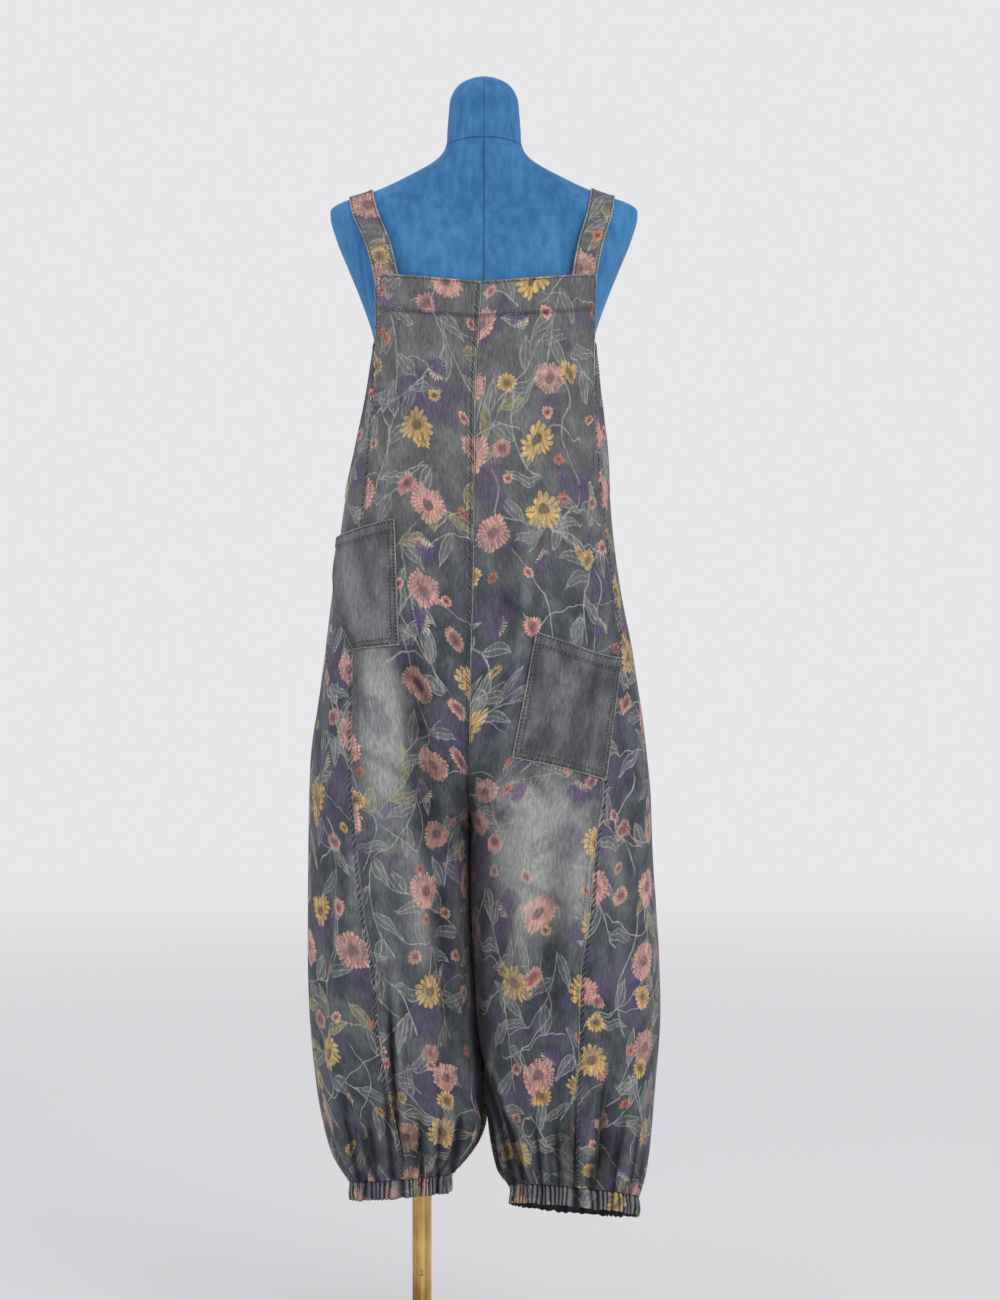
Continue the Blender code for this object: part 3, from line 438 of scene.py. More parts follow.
# Each row of dark dashes, partly dye and partly painted shade: the seam's axis, the distance from the seam,
# the half width, the pitch, the strength.
PRINTED_DASHES = (
    ("X", 0.0046, 0.0024, 0.0062, 0.85),
    ("Y", 0.0044, 0.0026, 0.0078, 0.75),
    ("Z", 0.0030, 0.0011, 0.0046, 0.70),
)
PLAIN_DASHES = (
    ("X", 0.0030, 0.0012, 0.0047, 0.85),
    ("X", 0.0086, 0.0012, 0.0047, 0.80),
    ("Y", 0.0034, 0.0012, 0.0047, 0.85),
    ("Y", 0.0140, 0.0012, 0.0047, 0.70),
)
EDGE_WIDTH = 0.0014
# Each kind of worn edge: the seam's axis and the strength.
EDGES = (("X", 0.80), ("Y", 0.50), ("Z", 0.75))


def weave(graph, place):
    """Height of a twill, 0 to 1: slanted ribs broken by long uneven yarns."""
    parts = graph.node("SeparateXYZ", {}, {0: place})
    slant = (parts * TWILL_SLANT[0] + parts.of("Y") * TWILL_SLANT[1]) * (2 * np.pi / TWILL_PITCH)
    ribs = slant.math("SINE") * 0.5 + 0.5
    slub = graph.noise(graph.stretch(place, (1.0, 0.16, 1.0)), 1150.0, 2.0, "2D")
    return ribs * 0.45 + slub * 0.55


def seam_marks(graph, colour, place, wash, dashes):
    """Along every seam: rows of dark dashes, each a distance away from an edge, and the pale worn edge.
    A dash row is a narrow band times a wave that runs along the seam, slanted and a little uneven. Its dark
    is partly dye kept in the puckers' hollows and partly painted shade of the stitch row, which also darkens
    the band a little between the dashes."""
    edges = graph.node("Attribute", {"attribute_name": "edges"}, out="Vector")
    near = graph.node("SeparateXYZ", {}, {0: edges})
    parts = graph.node("SeparateXYZ", {}, {0: place})
    uneven = graph.noise(place, 90.0, 1.0, "2D")
    for axis, away, half_width, pitch, strength in dashes:
        wave = ((parts + parts.of("Y")) * (2 * np.pi / pitch) + uneven * 6).math("SINE")
        row = graph.soft(abs(near.of(axis) - away), half_width, half_width * 0.35)
        colour = graph.mix(row * (graph.soft(wave, -0.35, 0.45) * strength + 0.10), colour, DASH_DYE_AND_SHADE)
        colour = graph.mix(row * graph.soft(wave, -0.5, -1.0) * 0.25, colour, FADED)
    for axis, strength in EDGES:
        rubbed = graph.soft(abs(near.of(axis)), EDGE_WIDTH, EDGE_WIDTH * 0.5)
        worn = (rubbed * (wash * 0.9 + 0.35) * strength).math("MINIMUM", 0.9)
        colour = graph.mix(worn, colour, WORN_EDGE)
    return colour


def denim(name, with_print):
    """Washed twill, with or without the print. The weave, the wash and the wear with painted highlight
    change its colour, and painted shade darkens the creases.
    """
    graph = Graph(name)
    place = graph.node("UVMap", {"uv_map": "cloth"})
    height = weave(graph, place)
    high = graph.node("SeparateXYZ", {}, {0: graph.node("TexCoord", out="Object")}, out="Z")
    # Wear and painted highlight: faded patches and worn bands, and ridges made paler, partly as wear and
    # partly as painted highlight.
    wear = graph.node("Attribute", {"attribute_name": "wear"}, out="Fac")
    # Painted shade: how much darker a point is made in creases, pleats, gathers, between the legs and along
    # sewn lines.
    deep = graph.node("Attribute", {"attribute_name": "deep"}, out="Fac")
    wash = graph.noise(graph.stretch(place, (1.0, 0.6, 1.0)), 34.0, 4.0, "2D")
    if with_print:
        cloth = graph.mix(graph.soft(high, 0.88, 1.22), WARP, WARP_BIB)
        cloth = graph.mix(graph.soft(wash, 0.35, 0.75) * 0.22, cloth, FADED)
        cloth = graph.mix(graph.soft(wear, 0.05, 1.0) * 0.78, cloth, FADED)
        colour = printed(graph, cloth, place)
        colour = graph.mix(graph.soft(wear, 0.3, 1.2) * 0.28, colour, FADED)
        colour = seam_marks(graph, colour, place, wash, PRINTED_DASHES)
    else:
        colour = graph.mix(graph.soft(wash, 0.3, 0.8) * 0.5, PLAIN, PLAIN_LIGHT)
        colour = graph.mix(graph.soft(wear, 0.0, 1.0) * 0.6, colour, PLAIN_LIGHT)
        colour = seam_marks(graph, colour, place, wash, PLAIN_DASHES)
    grain = graph.noise(graph.stretch(place, (1.0, 0.22, 1.0)), 420.0, 3.0, "2D")
    mottle = graph.noise(graph.stretch(place, (1.0, 0.35, 1.0)), 150.0, 2.0, "2D")
    light = height * 0.36 + grain + mottle * 0.35 + 0.10
    # The painted shade darkens the colour here.
    colour = graph.tint(colour, light * (1 - deep * DARKEST_PAINTED_SHADE))
    graph.shader.inputs["Specular IOR Level"].default_value = 0.15
    graph.shader.inputs["Sheen Weight"].default_value = 0.10
    graph.shader.inputs["Sheen Roughness"].default_value = 0.5
    bumps = graph.bump(height * 0.6 + grain * 0.4, BUMP_DEPTH, 0.6)
    return graph.finish(0.92, Base_Color=colour, Normal=bumps)


def inside_denim(name):
    """The cloth's dark wrong side, where the print only glimmers through."""
    graph = Graph(name)
    place = graph.node("UVMap", {"uv_map": "cloth"})
    patch = graph.soft(graph.noise(place, 40.0, 2.0, "2D"), 0.56, 0.66)
    height = weave(graph, place)
    colour = graph.tint(graph.mix(patch * 0.35, INSIDE, GLIMMER), height * 0.5 + 0.75)
    return graph.finish(0.95, Base_Color=colour, Normal=graph.bump(height, 0.0006))


PRINTED = denim("printed denim", True)
PLAIN_DENIM = denim("plain denim", False)
INSIDE_DENIM = inside_denim("inside of the denim")
print("the print takes", len(PRINTED.node_tree.nodes), "nodes")

# %% [markdown]
# The sections of the garment
#
# A pattern cutter checks a garment at a few heights: how far out it reaches, where its seams run, how deep
# it is behind and in front. The same tables carry the solids, so the cloth here lies on them. Between two
# heights a smooth curve fills in.

# %% Sections, folds and edges
WALL = 0.0012
SEAM_GAP = 0.0005
LEG_GAP = 0.0010
LEG_BEND = 0.006
LEG_BEND_DEPTH = 0.03
ROUNDNESS = 2.3
BIB_TOP_Z = 1.3935
BIB_DIP = 0.013
BACK_EDGE_Z = 1.312
FRONT_BIB_Z = 1.285
ARMHOLE_LOW_Z = 1.128
YOKE_Z = 1.05
SPLIT_START_Z = 0.90
CROTCH_Z = 0.69
HEM_Z = 0.247
TILT_START_Z = 0.45
BACK_GATHERS = 16
FRONT_GATHERS = 32

SECTION_COLUMNS = ("z", "outer", "inner", "outseam", "back", "front")
LEFT_SECTIONS = (
    (1.410, -0.188, -0.0025, -0.1350, 0.098, 0.104),
    (1.370, -0.172, -0.0043, -0.1353, 0.099, 0.112),
    (1.310, -0.160, -0.0080, -0.1360, 0.102, 0.119),
    (1.250, -0.159, -0.0113, -0.1375, 0.106, 0.127),
    (1.190, -0.166, -0.0120, -0.1420, 0.110, 0.134),
    (1.130, -0.1745, -0.0125, -0.1465, 0.114, 0.134),
    (1.060, -0.1840, -0.0130, -0.1530, 0.118, 0.134),
    (0.990, -0.1935, -0.0140, -0.1590, 0.124, 0.134),
    (0.925, -0.2015, -0.0160, -0.1627, 0.130, 0.134),
    (0.860, -0.2100, -0.0168, -0.1627, 0.133, 0.131),
    (0.800, -0.2190, -0.0183, -0.1627, 0.134, 0.129),
    (0.745, -0.2218, -0.0194, -0.1612, 0.134, 0.128),
    (0.690, -0.2228, -0.0150, -0.1560, 0.132, 0.127),
    (0.600, -0.2236, -0.0132, -0.1467, 0.129, 0.125),
    (0.520, -0.2236, -0.0095, -0.1325, 0.127, 0.124),
    (0.450, -0.2210, -0.0045, -0.1283, 0.124, 0.122),
    (0.390, -0.2156, -0.0005, -0.1195, 0.117, 0.116),
    (0.350, -0.2089, 0.0015, -0.1135, 0.107, 0.108),
    (0.310, -0.1990, 0.0030, -0.1060, 0.094, 0.096),
    (0.280, -0.1895, -0.0090, -0.1020, 0.079, 0.082),
    (0.262, -0.1800, -0.0230, -0.1010, 0.065, 0.068),
    (0.247, -0.1711, -0.0363, -0.1000, 0.052, 0.054),
    (0.222, -0.1705, -0.0380, -0.1000, 0.051, 0.053),
)
RIGHT_SECTIONS = (
    (1.410, 0.190, -0.0025, 0.1409, 0.098, 0.104),
    (1.370, 0.172, -0.0043, 0.1400, 0.099, 0.112),
    (1.310, 0.160, -0.0080, 0.1390, 0.102, 0.119),
    (1.250, 0.156, -0.0113, 0.1390, 0.106, 0.127),
    (1.190, 0.158, -0.0120, 0.1410, 0.110, 0.134),
    (1.130, 0.1595, -0.0125, 0.1450, 0.114, 0.134),
    (1.060, 0.1655, -0.0130, 0.1530, 0.118, 0.134),
    (0.990, 0.1755, -0.0140, 0.1640, 0.124, 0.134),
    (0.925, 0.1885, -0.0160, 0.1700, 0.130, 0.134),
    (0.860, 0.1975, -0.0168, 0.1590, 0.133, 0.131),
    (0.800, 0.2050, -0.0183, 0.1515, 0.134, 0.129),
    (0.745, 0.2108, -0.0194, 0.1475, 0.134, 0.128),
    (0.690, 0.2125, -0.0150, 0.1390, 0.132, 0.127),
    (0.600, 0.2187, -0.0132, 0.1315, 0.129, 0.125),
    (0.520, 0.2232, -0.0095, 0.1200, 0.127, 0.124),
    (0.450, 0.2240, -0.0045, 0.1185, 0.124, 0.122),
    (0.390, 0.2190, 0.0005, 0.1165, 0.117, 0.116),
    (0.350, 0.2140, 0.0035, 0.1156, 0.107, 0.108),
    (0.310, 0.2085, 0.0065, 0.1150, 0.090, 0.094),
    (0.280, 0.2045, 0.0125, 0.1150, 0.073, 0.078),
    (0.262, 0.2005, 0.0185, 0.1150, 0.057, 0.061),
    (0.247, 0.1968, 0.0306, 0.1150, 0.042, 0.044),
    (0.222, 0.1975, 0.0306, 0.1150, 0.041, 0.043),
)

SIDE_SECTIONS = {-1: LEFT_SECTIONS, 1: RIGHT_SECTIONS}

# Each long fold: z_top, x_top, x_mid, z_end, x_end, half_width, height.
BACK_FOLDS = (
    (1.130, 0.057, 0.047, 0.800, 0.020, 0.015, 0.0080),
    (1.120, 0.040, 0.029, 0.790, 0.004, 0.013, -0.0060),
    (0.960, -0.100, -0.075, 0.640, -0.052, 0.018, -0.0110),
    (0.670, -0.056, -0.048, 0.400, -0.030, 0.012, -0.0090),
    (0.700, -0.086, -0.078, 0.500, -0.068, 0.015, 0.0070),
    (0.720, -0.166, -0.178, 0.360, -0.192, 0.013, 0.0060),
    (0.720, -0.184, -0.195, 0.360, -0.207, 0.011, -0.0060),
    (0.720, -0.126, -0.122, 0.420, -0.112, 0.011, 0.0060),
    (0.990, -0.140, -0.143, 0.860, -0.146, 0.010, 0.0050),
    (0.900, 0.178, 0.190, 0.620, 0.196, 0.014, 0.0060),
    (0.760, 0.060, 0.048, 0.470, 0.036, 0.016, 0.0060),
    (0.740, 0.102, 0.086, 0.420, 0.080, 0.015, -0.0080),
    (0.560, 0.150, 0.156, 0.340, 0.163, 0.012, 0.0060),
    (0.420, 0.120, 0.132, 0.300, 0.138, 0.010, -0.0050),
)
FRONT_FOLDS = (
    (1.100, -0.060, -0.050, 0.780, -0.026, 0.016, 0.0070),
    (1.080, 0.052, 0.046, 0.800, 0.016, 0.014, 0.0070),
    (0.930, 0.110, 0.082, 0.620, 0.058, 0.018, -0.0100),
    (0.900, -0.120, -0.090, 0.600, -0.064, 0.017, -0.0090),
    (0.740, -0.150, -0.160, 0.380, -0.150, 0.014, 0.0070),
    (0.700, -0.050, -0.044, 0.430, -0.036, 0.013, -0.0070),
    (0.720, 0.160, 0.172, 0.400, 0.170, 0.014, 0.0070),
    (0.690, 0.104, 0.098, 0.440, 0.086, 0.015, 0.0060),
    (0.520, 0.052, 0.060, 0.320, 0.072, 0.012, -0.0060),
)
FOLDS = {"back": BACK_FOLDS, "front": FRONT_FOLDS}

# Each leg's tilted hem: drop, rise_x, fall_y, middle_x.
HEMS = {-1: (-0.0065, 0.085, 0.10, -0.1035), 1: (0.0124, -0.095, 0.30, 0.1137)}


def smooth_curve(knots, values):
    """A function through the values: cubic between knots, each knot's slope taken from its neighbours."""
    order = np.argsort(knots)
    knots, values = np.array(knots)[order], np.array(values)[order]
    slopes = np.gradient(values, knots)

    def at(place):
        place = np.clip(place, knots[0], knots[-1])
        i = np.clip(np.searchsorted(knots, place) - 1, 0, len(knots) - 2)
        span = knots[i + 1] - knots[i]
        t = (place - knots[i]) / span
        start = values[i] * (1 + 2 * t) * (1 - t) ** 2 + slopes[i] * span * t * (1 - t) ** 2
        end = values[i + 1] * t**2 * (3 - 2 * t) + slopes[i + 1] * span * t**2 * (t - 1)
        return start + end

    return at


def table_curves(columns, rows):
    """One smooth function of the first column for each of the others, by name."""
    table = np.array(rows, float)
    return {name: smooth_curve(table[:, 0], table[:, i]) for i, name in enumerate(columns) if i}


SECTIONS = {side: table_curves(SECTION_COLUMNS, rows) for side, rows in SIDE_SECTIONS.items()}


def ramp(value, start, end):
    """0 before start, 1 after end, smooth between."""
    t = np.clip((value - start) / (end - start), 0, 1)
    return t * t * (3 - 2 * t)


def bell(distance, half_width):
    """1 in the middle, falling off softly on both sides."""
    return np.exp(-((distance / half_width) ** 2))


# %% [markdown]
# Creases
#
# Besides the long folds that the solids carry, worn denim has short creases: drag lines from a pocket's
# corner, puckers over the gathered hems, breaks where a leg folds. Each is one row: from one end to the
# other, with its half width and its height, below zero for a trough. They are placed one by one, uneven on
# purpose, and the hidden front has its own.

# %% Creases
# Each pleat over a hem: x_hem, x_top, z_top, half_width, depth.
BACK_PLEATS = (
    (-0.1497, -0.1852, 0.445, 0.0045, 0.0080),
    (-0.1400, -0.1575, 0.360, 0.0036, 0.0060),
    (-0.1240, -0.1267, 0.335, 0.0036, 0.0040),
    (-0.1035, -0.1177, 0.545, 0.0045, 0.0085),
    (-0.0800, -0.0786, 0.345, 0.0040, 0.0045),
    (-0.0590, -0.0522, 0.355, 0.0040, 0.0045),
    (-0.0400, -0.0265, 0.350, 0.0040, 0.0050),
    (0.0387, -0.0149, 0.475, 0.0045, 0.0085),
    (0.0510, 0.0092, 0.395, 0.0040, 0.0065),
    (0.0742, 0.0604, 0.345, 0.0040, 0.0050),
    (0.0950, 0.0910, 0.330, 0.0036, 0.0040),
    (0.1128, 0.1212, 0.371, 0.0040, 0.0060),
    (0.1406, 0.1641, 0.435, 0.0045, 0.0080),
    (0.1600, 0.1722, 0.355, 0.0040, 0.0050),
    (0.1800, 0.1935, 0.345, 0.0040, 0.0045),
)
FRONT_PLEATS = (
    (-0.1560, -0.1776, 0.380, 0.0042, 0.0065),
    (-0.1330, -0.1425, 0.345, 0.0038, 0.0045),
    (-0.1120, -0.1228, 0.410, 0.0045, 0.0075),
    (-0.0860, -0.0833, 0.340, 0.0040, 0.0045),
    (-0.0640, -0.0532, 0.390, 0.0042, 0.0060),
    (-0.0430, -0.0282, 0.345, 0.0040, 0.0045),
    (0.0430, 0.0092, 0.395, 0.0045, 0.0065),
    (0.0660, 0.0471, 0.350, 0.0040, 0.0050),
    (0.0880, 0.0826, 0.400, 0.0045, 0.0070),
    (0.1120, 0.1174, 0.340, 0.0038, 0.0045),
    (0.1350, 0.1525, 0.415, 0.0045, 0.0075),
    (0.1620, 0.1782, 0.365, 0.0040, 0.0055),
    (0.1830, 0.1965, 0.345, 0.0040, 0.0045),
)
PLEATS = {"back": BACK_PLEATS, "front": FRONT_PLEATS}

# Each crease: x_start, z_start, x_end, z_end, half_width, height.
BACK_CREASES = (
    (-0.105, 0.905, -0.060, 0.850, 0.0060, -0.0026),
    (-0.150, 0.900, -0.120, 0.820, 0.0070, 0.0022),
    (-0.158, 0.800, -0.085, 0.760, 0.0065, -0.0022),
    (-0.150, 0.735, -0.095, 0.700, 0.0060, 0.0020),
    (0.040, 0.780, 0.085, 0.735, 0.0065, -0.0024),
    (0.130, 0.740, 0.085, 0.690, 0.0060, 0.0020),
    (0.030, 0.640, 0.110, 0.600, 0.0070, -0.0020),
    (-0.015, 0.720, -0.060, 0.660, 0.0060, -0.0030),
    (-0.018, 0.760, 0.030, 0.700, 0.0060, -0.0030),
    (-0.120, 1.250, -0.070, 1.170, 0.0080, -0.0018),
    (0.120, 1.260, 0.065, 1.180, 0.0080, -0.0018),
    (0.060, 0.960, 0.020, 1.000, 0.0070, -0.0022),
    (0.155, 1.120, 0.110, 1.040, 0.0080, 0.0024),
    (-0.205, 0.560, -0.150, 0.530, 0.0060, -0.0020),
    (0.150, 0.520, 0.205, 0.490, 0.0060, -0.0022),
    (-0.090, 0.470, -0.040, 0.445, 0.0060, 0.0018),
    (0.060, 0.440, 0.110, 0.410, 0.0060, -0.0018),
)
FRONT_CREASES = (
    (-0.015, 0.730, -0.070, 0.655, 0.0065, -0.0030),
    (-0.017, 0.750, 0.045, 0.670, 0.0065, -0.0030),
    (-0.140, 0.880, -0.080, 0.830, 0.0070, -0.0024),
    (0.135, 0.900, 0.070, 0.850, 0.0070, -0.0024),
    (-0.130, 0.700, -0.180, 0.660, 0.0065, 0.0022),
    (0.120, 0.680, 0.180, 0.640, 0.0065, 0.0022),
    (-0.050, 1.120, -0.090, 1.020, 0.0080, 0.0022),
    (0.060, 1.130, 0.100, 1.030, 0.0080, -0.0020),
    (-0.170, 0.520, -0.110, 0.490, 0.0060, -0.0020),
    (0.090, 0.500, 0.150, 0.470, 0.0060, -0.0020),
)
CREASES = {"back": BACK_CREASES, "front": FRONT_CREASES}
SHARP_SIDE = 0.0020
FULL_SHADE_DEPTH = 0.0045


def pleat_parts(face, x, z):
    """Every pleat over a hem: how far it still stands at this height, and the distance from its line."""
    for x_hem, x_top, z_top, half_width, depth in PLEATS[face]:
        t = np.clip((z - HEM_Z) / (z_top - HEM_Z), 0, None)
        away = (x - x_hem - (x_top - x_hem) * t) * np.sign(x_hem - x_top)
        yield depth * (1 - ramp(t, 0.45, 1.1)), away, half_width


def pleat_height(face, x, z):
    """The pleats over a hem: troughs that fade upwards, each with a soft ridge on the side it leans from."""
    total = np.zeros(np.broadcast(x, z).shape)
    for size, away, half_width in pleat_parts(face, x, z):
        ridge = 0.5 * bell(away - 1.9 * half_width, 1.3 * half_width)
        total += size * (ridge - bell(away, half_width))
    return total


def pleat_shade(face, x, z):
    """The painted shade in each pleat: a dark line, sharp on the ridge's side, soft on the other. One where
    it is deepest.
    """
    total = np.zeros(np.broadcast(x, z).shape)
    for size, away, half_width in pleat_parts(face, x, z):
        total += size / FULL_SHADE_DEPTH * bell(away, np.where(away > 0, SHARP_SIDE, half_width))
    return total


def bells_on_lines(x, z, rows, bow, fade):
    """The sum of a bell across each row's line. The line bows by a share of its length, and its two ends
    fade, from that far outside an end to that far inside it, in shares of the length."""
    total = np.zeros(np.broadcast(x, z).shape)
    for x_0, z_0, x_1, z_1, half_width, height in rows:
        length = np.hypot(x_1 - x_0, z_1 - z_0)
        along = ((x - x_0) * (x_1 - x_0) + (z - z_0) * (z_1 - z_0)) / length**2
        across = ((x - x_0) * (z_1 - z_0) - (z - z_0) * (x_1 - x_0)) / length
        shown = ramp(along, -fade[0], fade[1]) * (1 - ramp(along, 1 - fade[1], 1 + fade[0]))
        total += height * shown * bell(across + bow * length * np.sin(np.pi * along), half_width)
    return total


def crease_height(face, x, z):
    """The sum of the creases, each faded over its last third at both ends."""
    return bells_on_lines(x, z, CREASES[face], 0.05, (0.1, 0.33))


for title, tables in (("pleats", PLEATS), ("creases", CREASES), ("long folds", FOLDS)):
    print(sum(len(rows) for rows in tables.values()), title)

# %% [markdown]
# The cloth's surface
#
# At each height a half of the garment is a rounded section, like a rounded square. Both halves make one body
# above the crotch, and each closes into a leg of its own below. The surface takes a height and a place
# across, finds the angle on the section, and moves the point out by its folds, gathers and creases.

# %% The surface as a function
SIDE_AT, CORNER_AT = 0.277, 0.64


def leg_split(z):
    """0 where both halves make one body section, 1 where each is a whole leg."""
    return ramp(-z, -SPLIT_START_Z, -CROTCH_Z)


def section_of(side, z):
    """The half's middle, half width and the angle of its inner edge."""
    inner = SECTIONS[side]["inner"](z)
    width = np.abs(SECTIONS[side]["outer"](z) - inner)
    split = leg_split(z)
    half = width / (1 + split)
    inner_angle = np.arccos(-(split ** (ROUNDNESS / 2)))
    return inner + side * split * half, half, inner_angle


def angle_of(side, x, z):
    """The angle, on the back, of the point this far from the centre plane. The side of the leg is 0."""
    middle, half, _ = section_of(side, z)
    share = np.clip(side * (x - middle) / half, -1, 1)
    return -np.arccos(np.sign(share) * np.abs(share) ** (ROUNDNESS / 2))


def angle_past_side(side, x, z):
    """As angle_of, but an x past the leg's side turns back in on the front, by as much as it is past."""
    outer = SECTIONS[side]["outer"](z)
    past = side * (x - outer) > 0
    return np.where(past, -angle_of(side, 2 * outer - x, z), angle_of(side, x, z))


def angle_on(side, face, z, u):
    """The angle at u, which runs from centre back to outseam on the back and on to centre front."""
    _, _, inner_angle = section_of(side, z)
    outseam = angle_of(side, SECTIONS[side]["outseam"](z), z)
    if face == "back":
        return -inner_angle + (outseam + inner_angle) * u
    return outseam + (inner_angle - outseam) * u


def fold_height(face, x, z):
    """The sum of the long folds at this place: a bell across each fold, faded at its two ends."""
    total = np.zeros(np.broadcast(x, z).shape)
    for z_top, x_top, x_mid, z_end, x_end, half_width, height in FOLDS[face]:
        t = (z_top - z) / (z_top - z_end)
        path = x_top * (1 - t) * (1 - 2 * t) + x_mid * 4 * t * (1 - t) + x_end * t * (2 * t - 1)
        fade = ramp(t, 0.0, 0.25) * (1 - ramp(t, 0.75, 1.0))
        total += height * fade * bell(x - path, half_width)
    return total


def relief_of(face, x, z):
    """Folds, creases and pleats together."""
    return fold_height(face, x, z) + crease_height(face, x, z) + pleat_height(face, x, z)


def gather_height(face, z, u):
    """Pleats that open upwards from the cuff: one crest or trough at each column, uneven in size."""
    count = BACK_GATHERS if face == "back" else FRONT_GATHERS
    column = count * u
    calm = 0.25 + 0.75 * ramp(u if face == "back" else 1 - u, 0, 0.35)
    uneven = calm * (1 + 0.35 * np.sin(2.4 * column) + 0.25 * np.sin(5.1 * column + 1))
    fine = 0.0019 * (1 - ramp(z, HEM_Z + 0.01, 0.31)) * uneven * np.cos(np.pi * column)
    wide = 0.0045 * ramp(z, HEM_Z, 0.28) * (1 - ramp(z, 0.30, 0.42))
    return fine + wide * np.cos(np.pi * column / 3 + 0.8 * np.sin(3 * u))


def tilt_hem(side, x, y, z):
    """The drop of the hem's tilted plane, which fades out up the leg."""
    drop, rise_x, fall_y, middle_x = HEMS[side]
    share = 1 - ramp(z, HEM_Z, TILT_START_Z)
    return z + share * (rise_x * (x - middle_x) - fall_y * y - drop)


def gap_bend(y, z):
    """How far the gap between the legs is bent to the side: a wave from back to front, below the crotch."""
    share = ramp(-z, -0.74, -0.64) * (1 - ramp(-z, -0.36, -0.31))
    return LEG_BEND * share * np.sin(y / LEG_BEND_DEPTH)


def keep_to_side(side, x, y, z):
    """Holds a point on its own side of the centre seam, or of the bent gap between the legs."""
    gap = SEAM_GAP + (LEG_GAP - SEAM_GAP) * ramp(-z, -CROTCH_Z, -0.6)
    inner = SECTIONS[side]["inner"](z) + gap_bend(y, z)
    return inner + side * np.maximum(side * (x - inner), gap / 2)


def point_at(side, angle, z, lift):
    """The section's point at this angle, moved straight out by folds, creases, pleats and the lift."""
    middle, half, _ = section_of(side, z)
    depth = np.where(angle < 0, SECTIONS[side]["back"](z), SECTIONS[side]["front"](z))
    across = np.sign(np.cos(angle)) * np.abs(np.cos(angle)) ** (2 / ROUNDNESS)
    along = np.sign(np.sin(angle)) * np.abs(np.sin(angle)) ** (2 / ROUNDNESS)
    x, y = middle + side * half * across, depth * along
    out_x = side * np.sign(across) * np.abs(across) ** (ROUNDNESS - 1) / half
    out_y = np.sign(along) * np.abs(along) ** (ROUNDNESS - 1) / depth
    length = np.hypot(out_x, out_y)
    on_back = ramp(-y, -0.02, 0.02)
    lift = lift + on_back * relief_of("back", x, z) + (1 - on_back) * relief_of("front", x, z)
    x, y = x + lift * out_x / length, y + lift * out_y / length
    x = x + gap_bend(y, z) * bell(x - SECTIONS[side]["inner"](z), 0.035)
    return np.stack([keep_to_side(side, x, y, z) + GARMENT_X, y, tilt_hem(side, x, y, z)], axis=-1)


def cloth_point(side, face, z, u, swell=0.0):
    """The garment's outer surface at a height and a place across its back or front panel."""
    return point_at(side, angle_on(side, face, z, u), z, gather_height(face, z, u) + swell)


def cloth_round(side, z, turn, swell):
    """The outer surface at turn: 0 to 1 over the back, 1 to 2 over the front, round and round."""
    turn = np.mod(turn, 2)
    on_back = cloth_point(side, "back", z, np.clip(turn, 0, 1), swell)
    on_front = cloth_point(side, "front", z, np.clip(turn - 1, 0, 1), swell)
    return np.where((turn <= 1)[..., None], on_back, on_front)


def front_top(u):
    """The height of the front panel's upper edge: from the back seam under the arm and up to the bib."""
    under = np.sin(np.pi / 2 * np.clip(u / SIDE_AT, 0, 1)) ** 1.1
    rise = np.clip((u - SIDE_AT) / (CORNER_AT - SIDE_AT), 0, 1) ** 1.7
    return BACK_EDGE_Z - (BACK_EDGE_Z - ARMHOLE_LOW_Z) * under + (FRONT_BIB_Z - ARMHOLE_LOW_Z) * rise


def back_top(u):
    """The height of the back bib's upper edge, which dips to the centre seam."""
    return BIB_TOP_Z - BIB_DIP * (1 - u) ** 1.2


# %% [markdown]
# From grids to walls of cloth
#
# Each piece is a grid of outer points and a grid of inner points one cloth thickness behind, with the rims
# closed. The steps along and across the grid give its normals. The flat map is measured on the surface
# itself, in metres, so the print keeps its size everywhere, as on real cloth.

# %% Grids, walls and maps


def normals_of(grid):
    """Unit normals of a grid of points, from the steps to its neighbours both ways."""
    across, down = np.gradient(grid, axis=1), np.gradient(grid, axis=0)
    normal = np.cross(across, down)
    return normal / np.maximum(np.linalg.norm(normal, axis=-1, keepdims=True), 1e-12)


def steps_along(grid, axis):
    """How far each point of a grid lies from the grid's first edge, measured over the surface."""
    step = np.linalg.norm(np.diff(grid, axis=axis), axis=-1)
    return np.cumsum(np.insert(step, 0, 0, axis=axis), axis=axis)


def corner_numbers(rows, columns, closed):
    """The four corners of each cell of a grid, as row and column numbers."""
    i, j = np.mgrid[0 : rows - 1, 0 : columns - (0 if closed else 1)]
    row = np.stack([i, i, i + 1, i + 1], axis=-1).reshape(-1, 4)
    column = np.stack([j, j + 1, j + 1, j], axis=-1).reshape(-1, 4)
    return row, column


def rim_numbers(rows, columns, closed):
    """The grid's edge as pairs of neighbours, all running the same way round."""
    across, down = np.arange(columns + 1 if closed else columns), np.arange(rows)
    runs = [(0 * across, across), (0 * across + rows - 1, across[::-1])]
    if not closed:
        runs = [runs[0], (down, 0 * down + columns - 1), runs[1], (down[::-1], 0 * down)]
    first = np.concatenate([np.stack([row[:-1], column[:-1]], axis=-1) for row, column in runs])
    second = np.concatenate([np.stack([row[1:], column[1:]], axis=-1) for row, column in runs])
    return first, second


def inside_out(points, faces):
    """Whether closed faces look inwards: the sum of the volumes between them and the origin is negative."""
    corners = points[faces]
    return np.einsum("ij,ij->i", corners[:, 0], np.cross(corners[:, 1], corners[:, 2])).sum() < 0


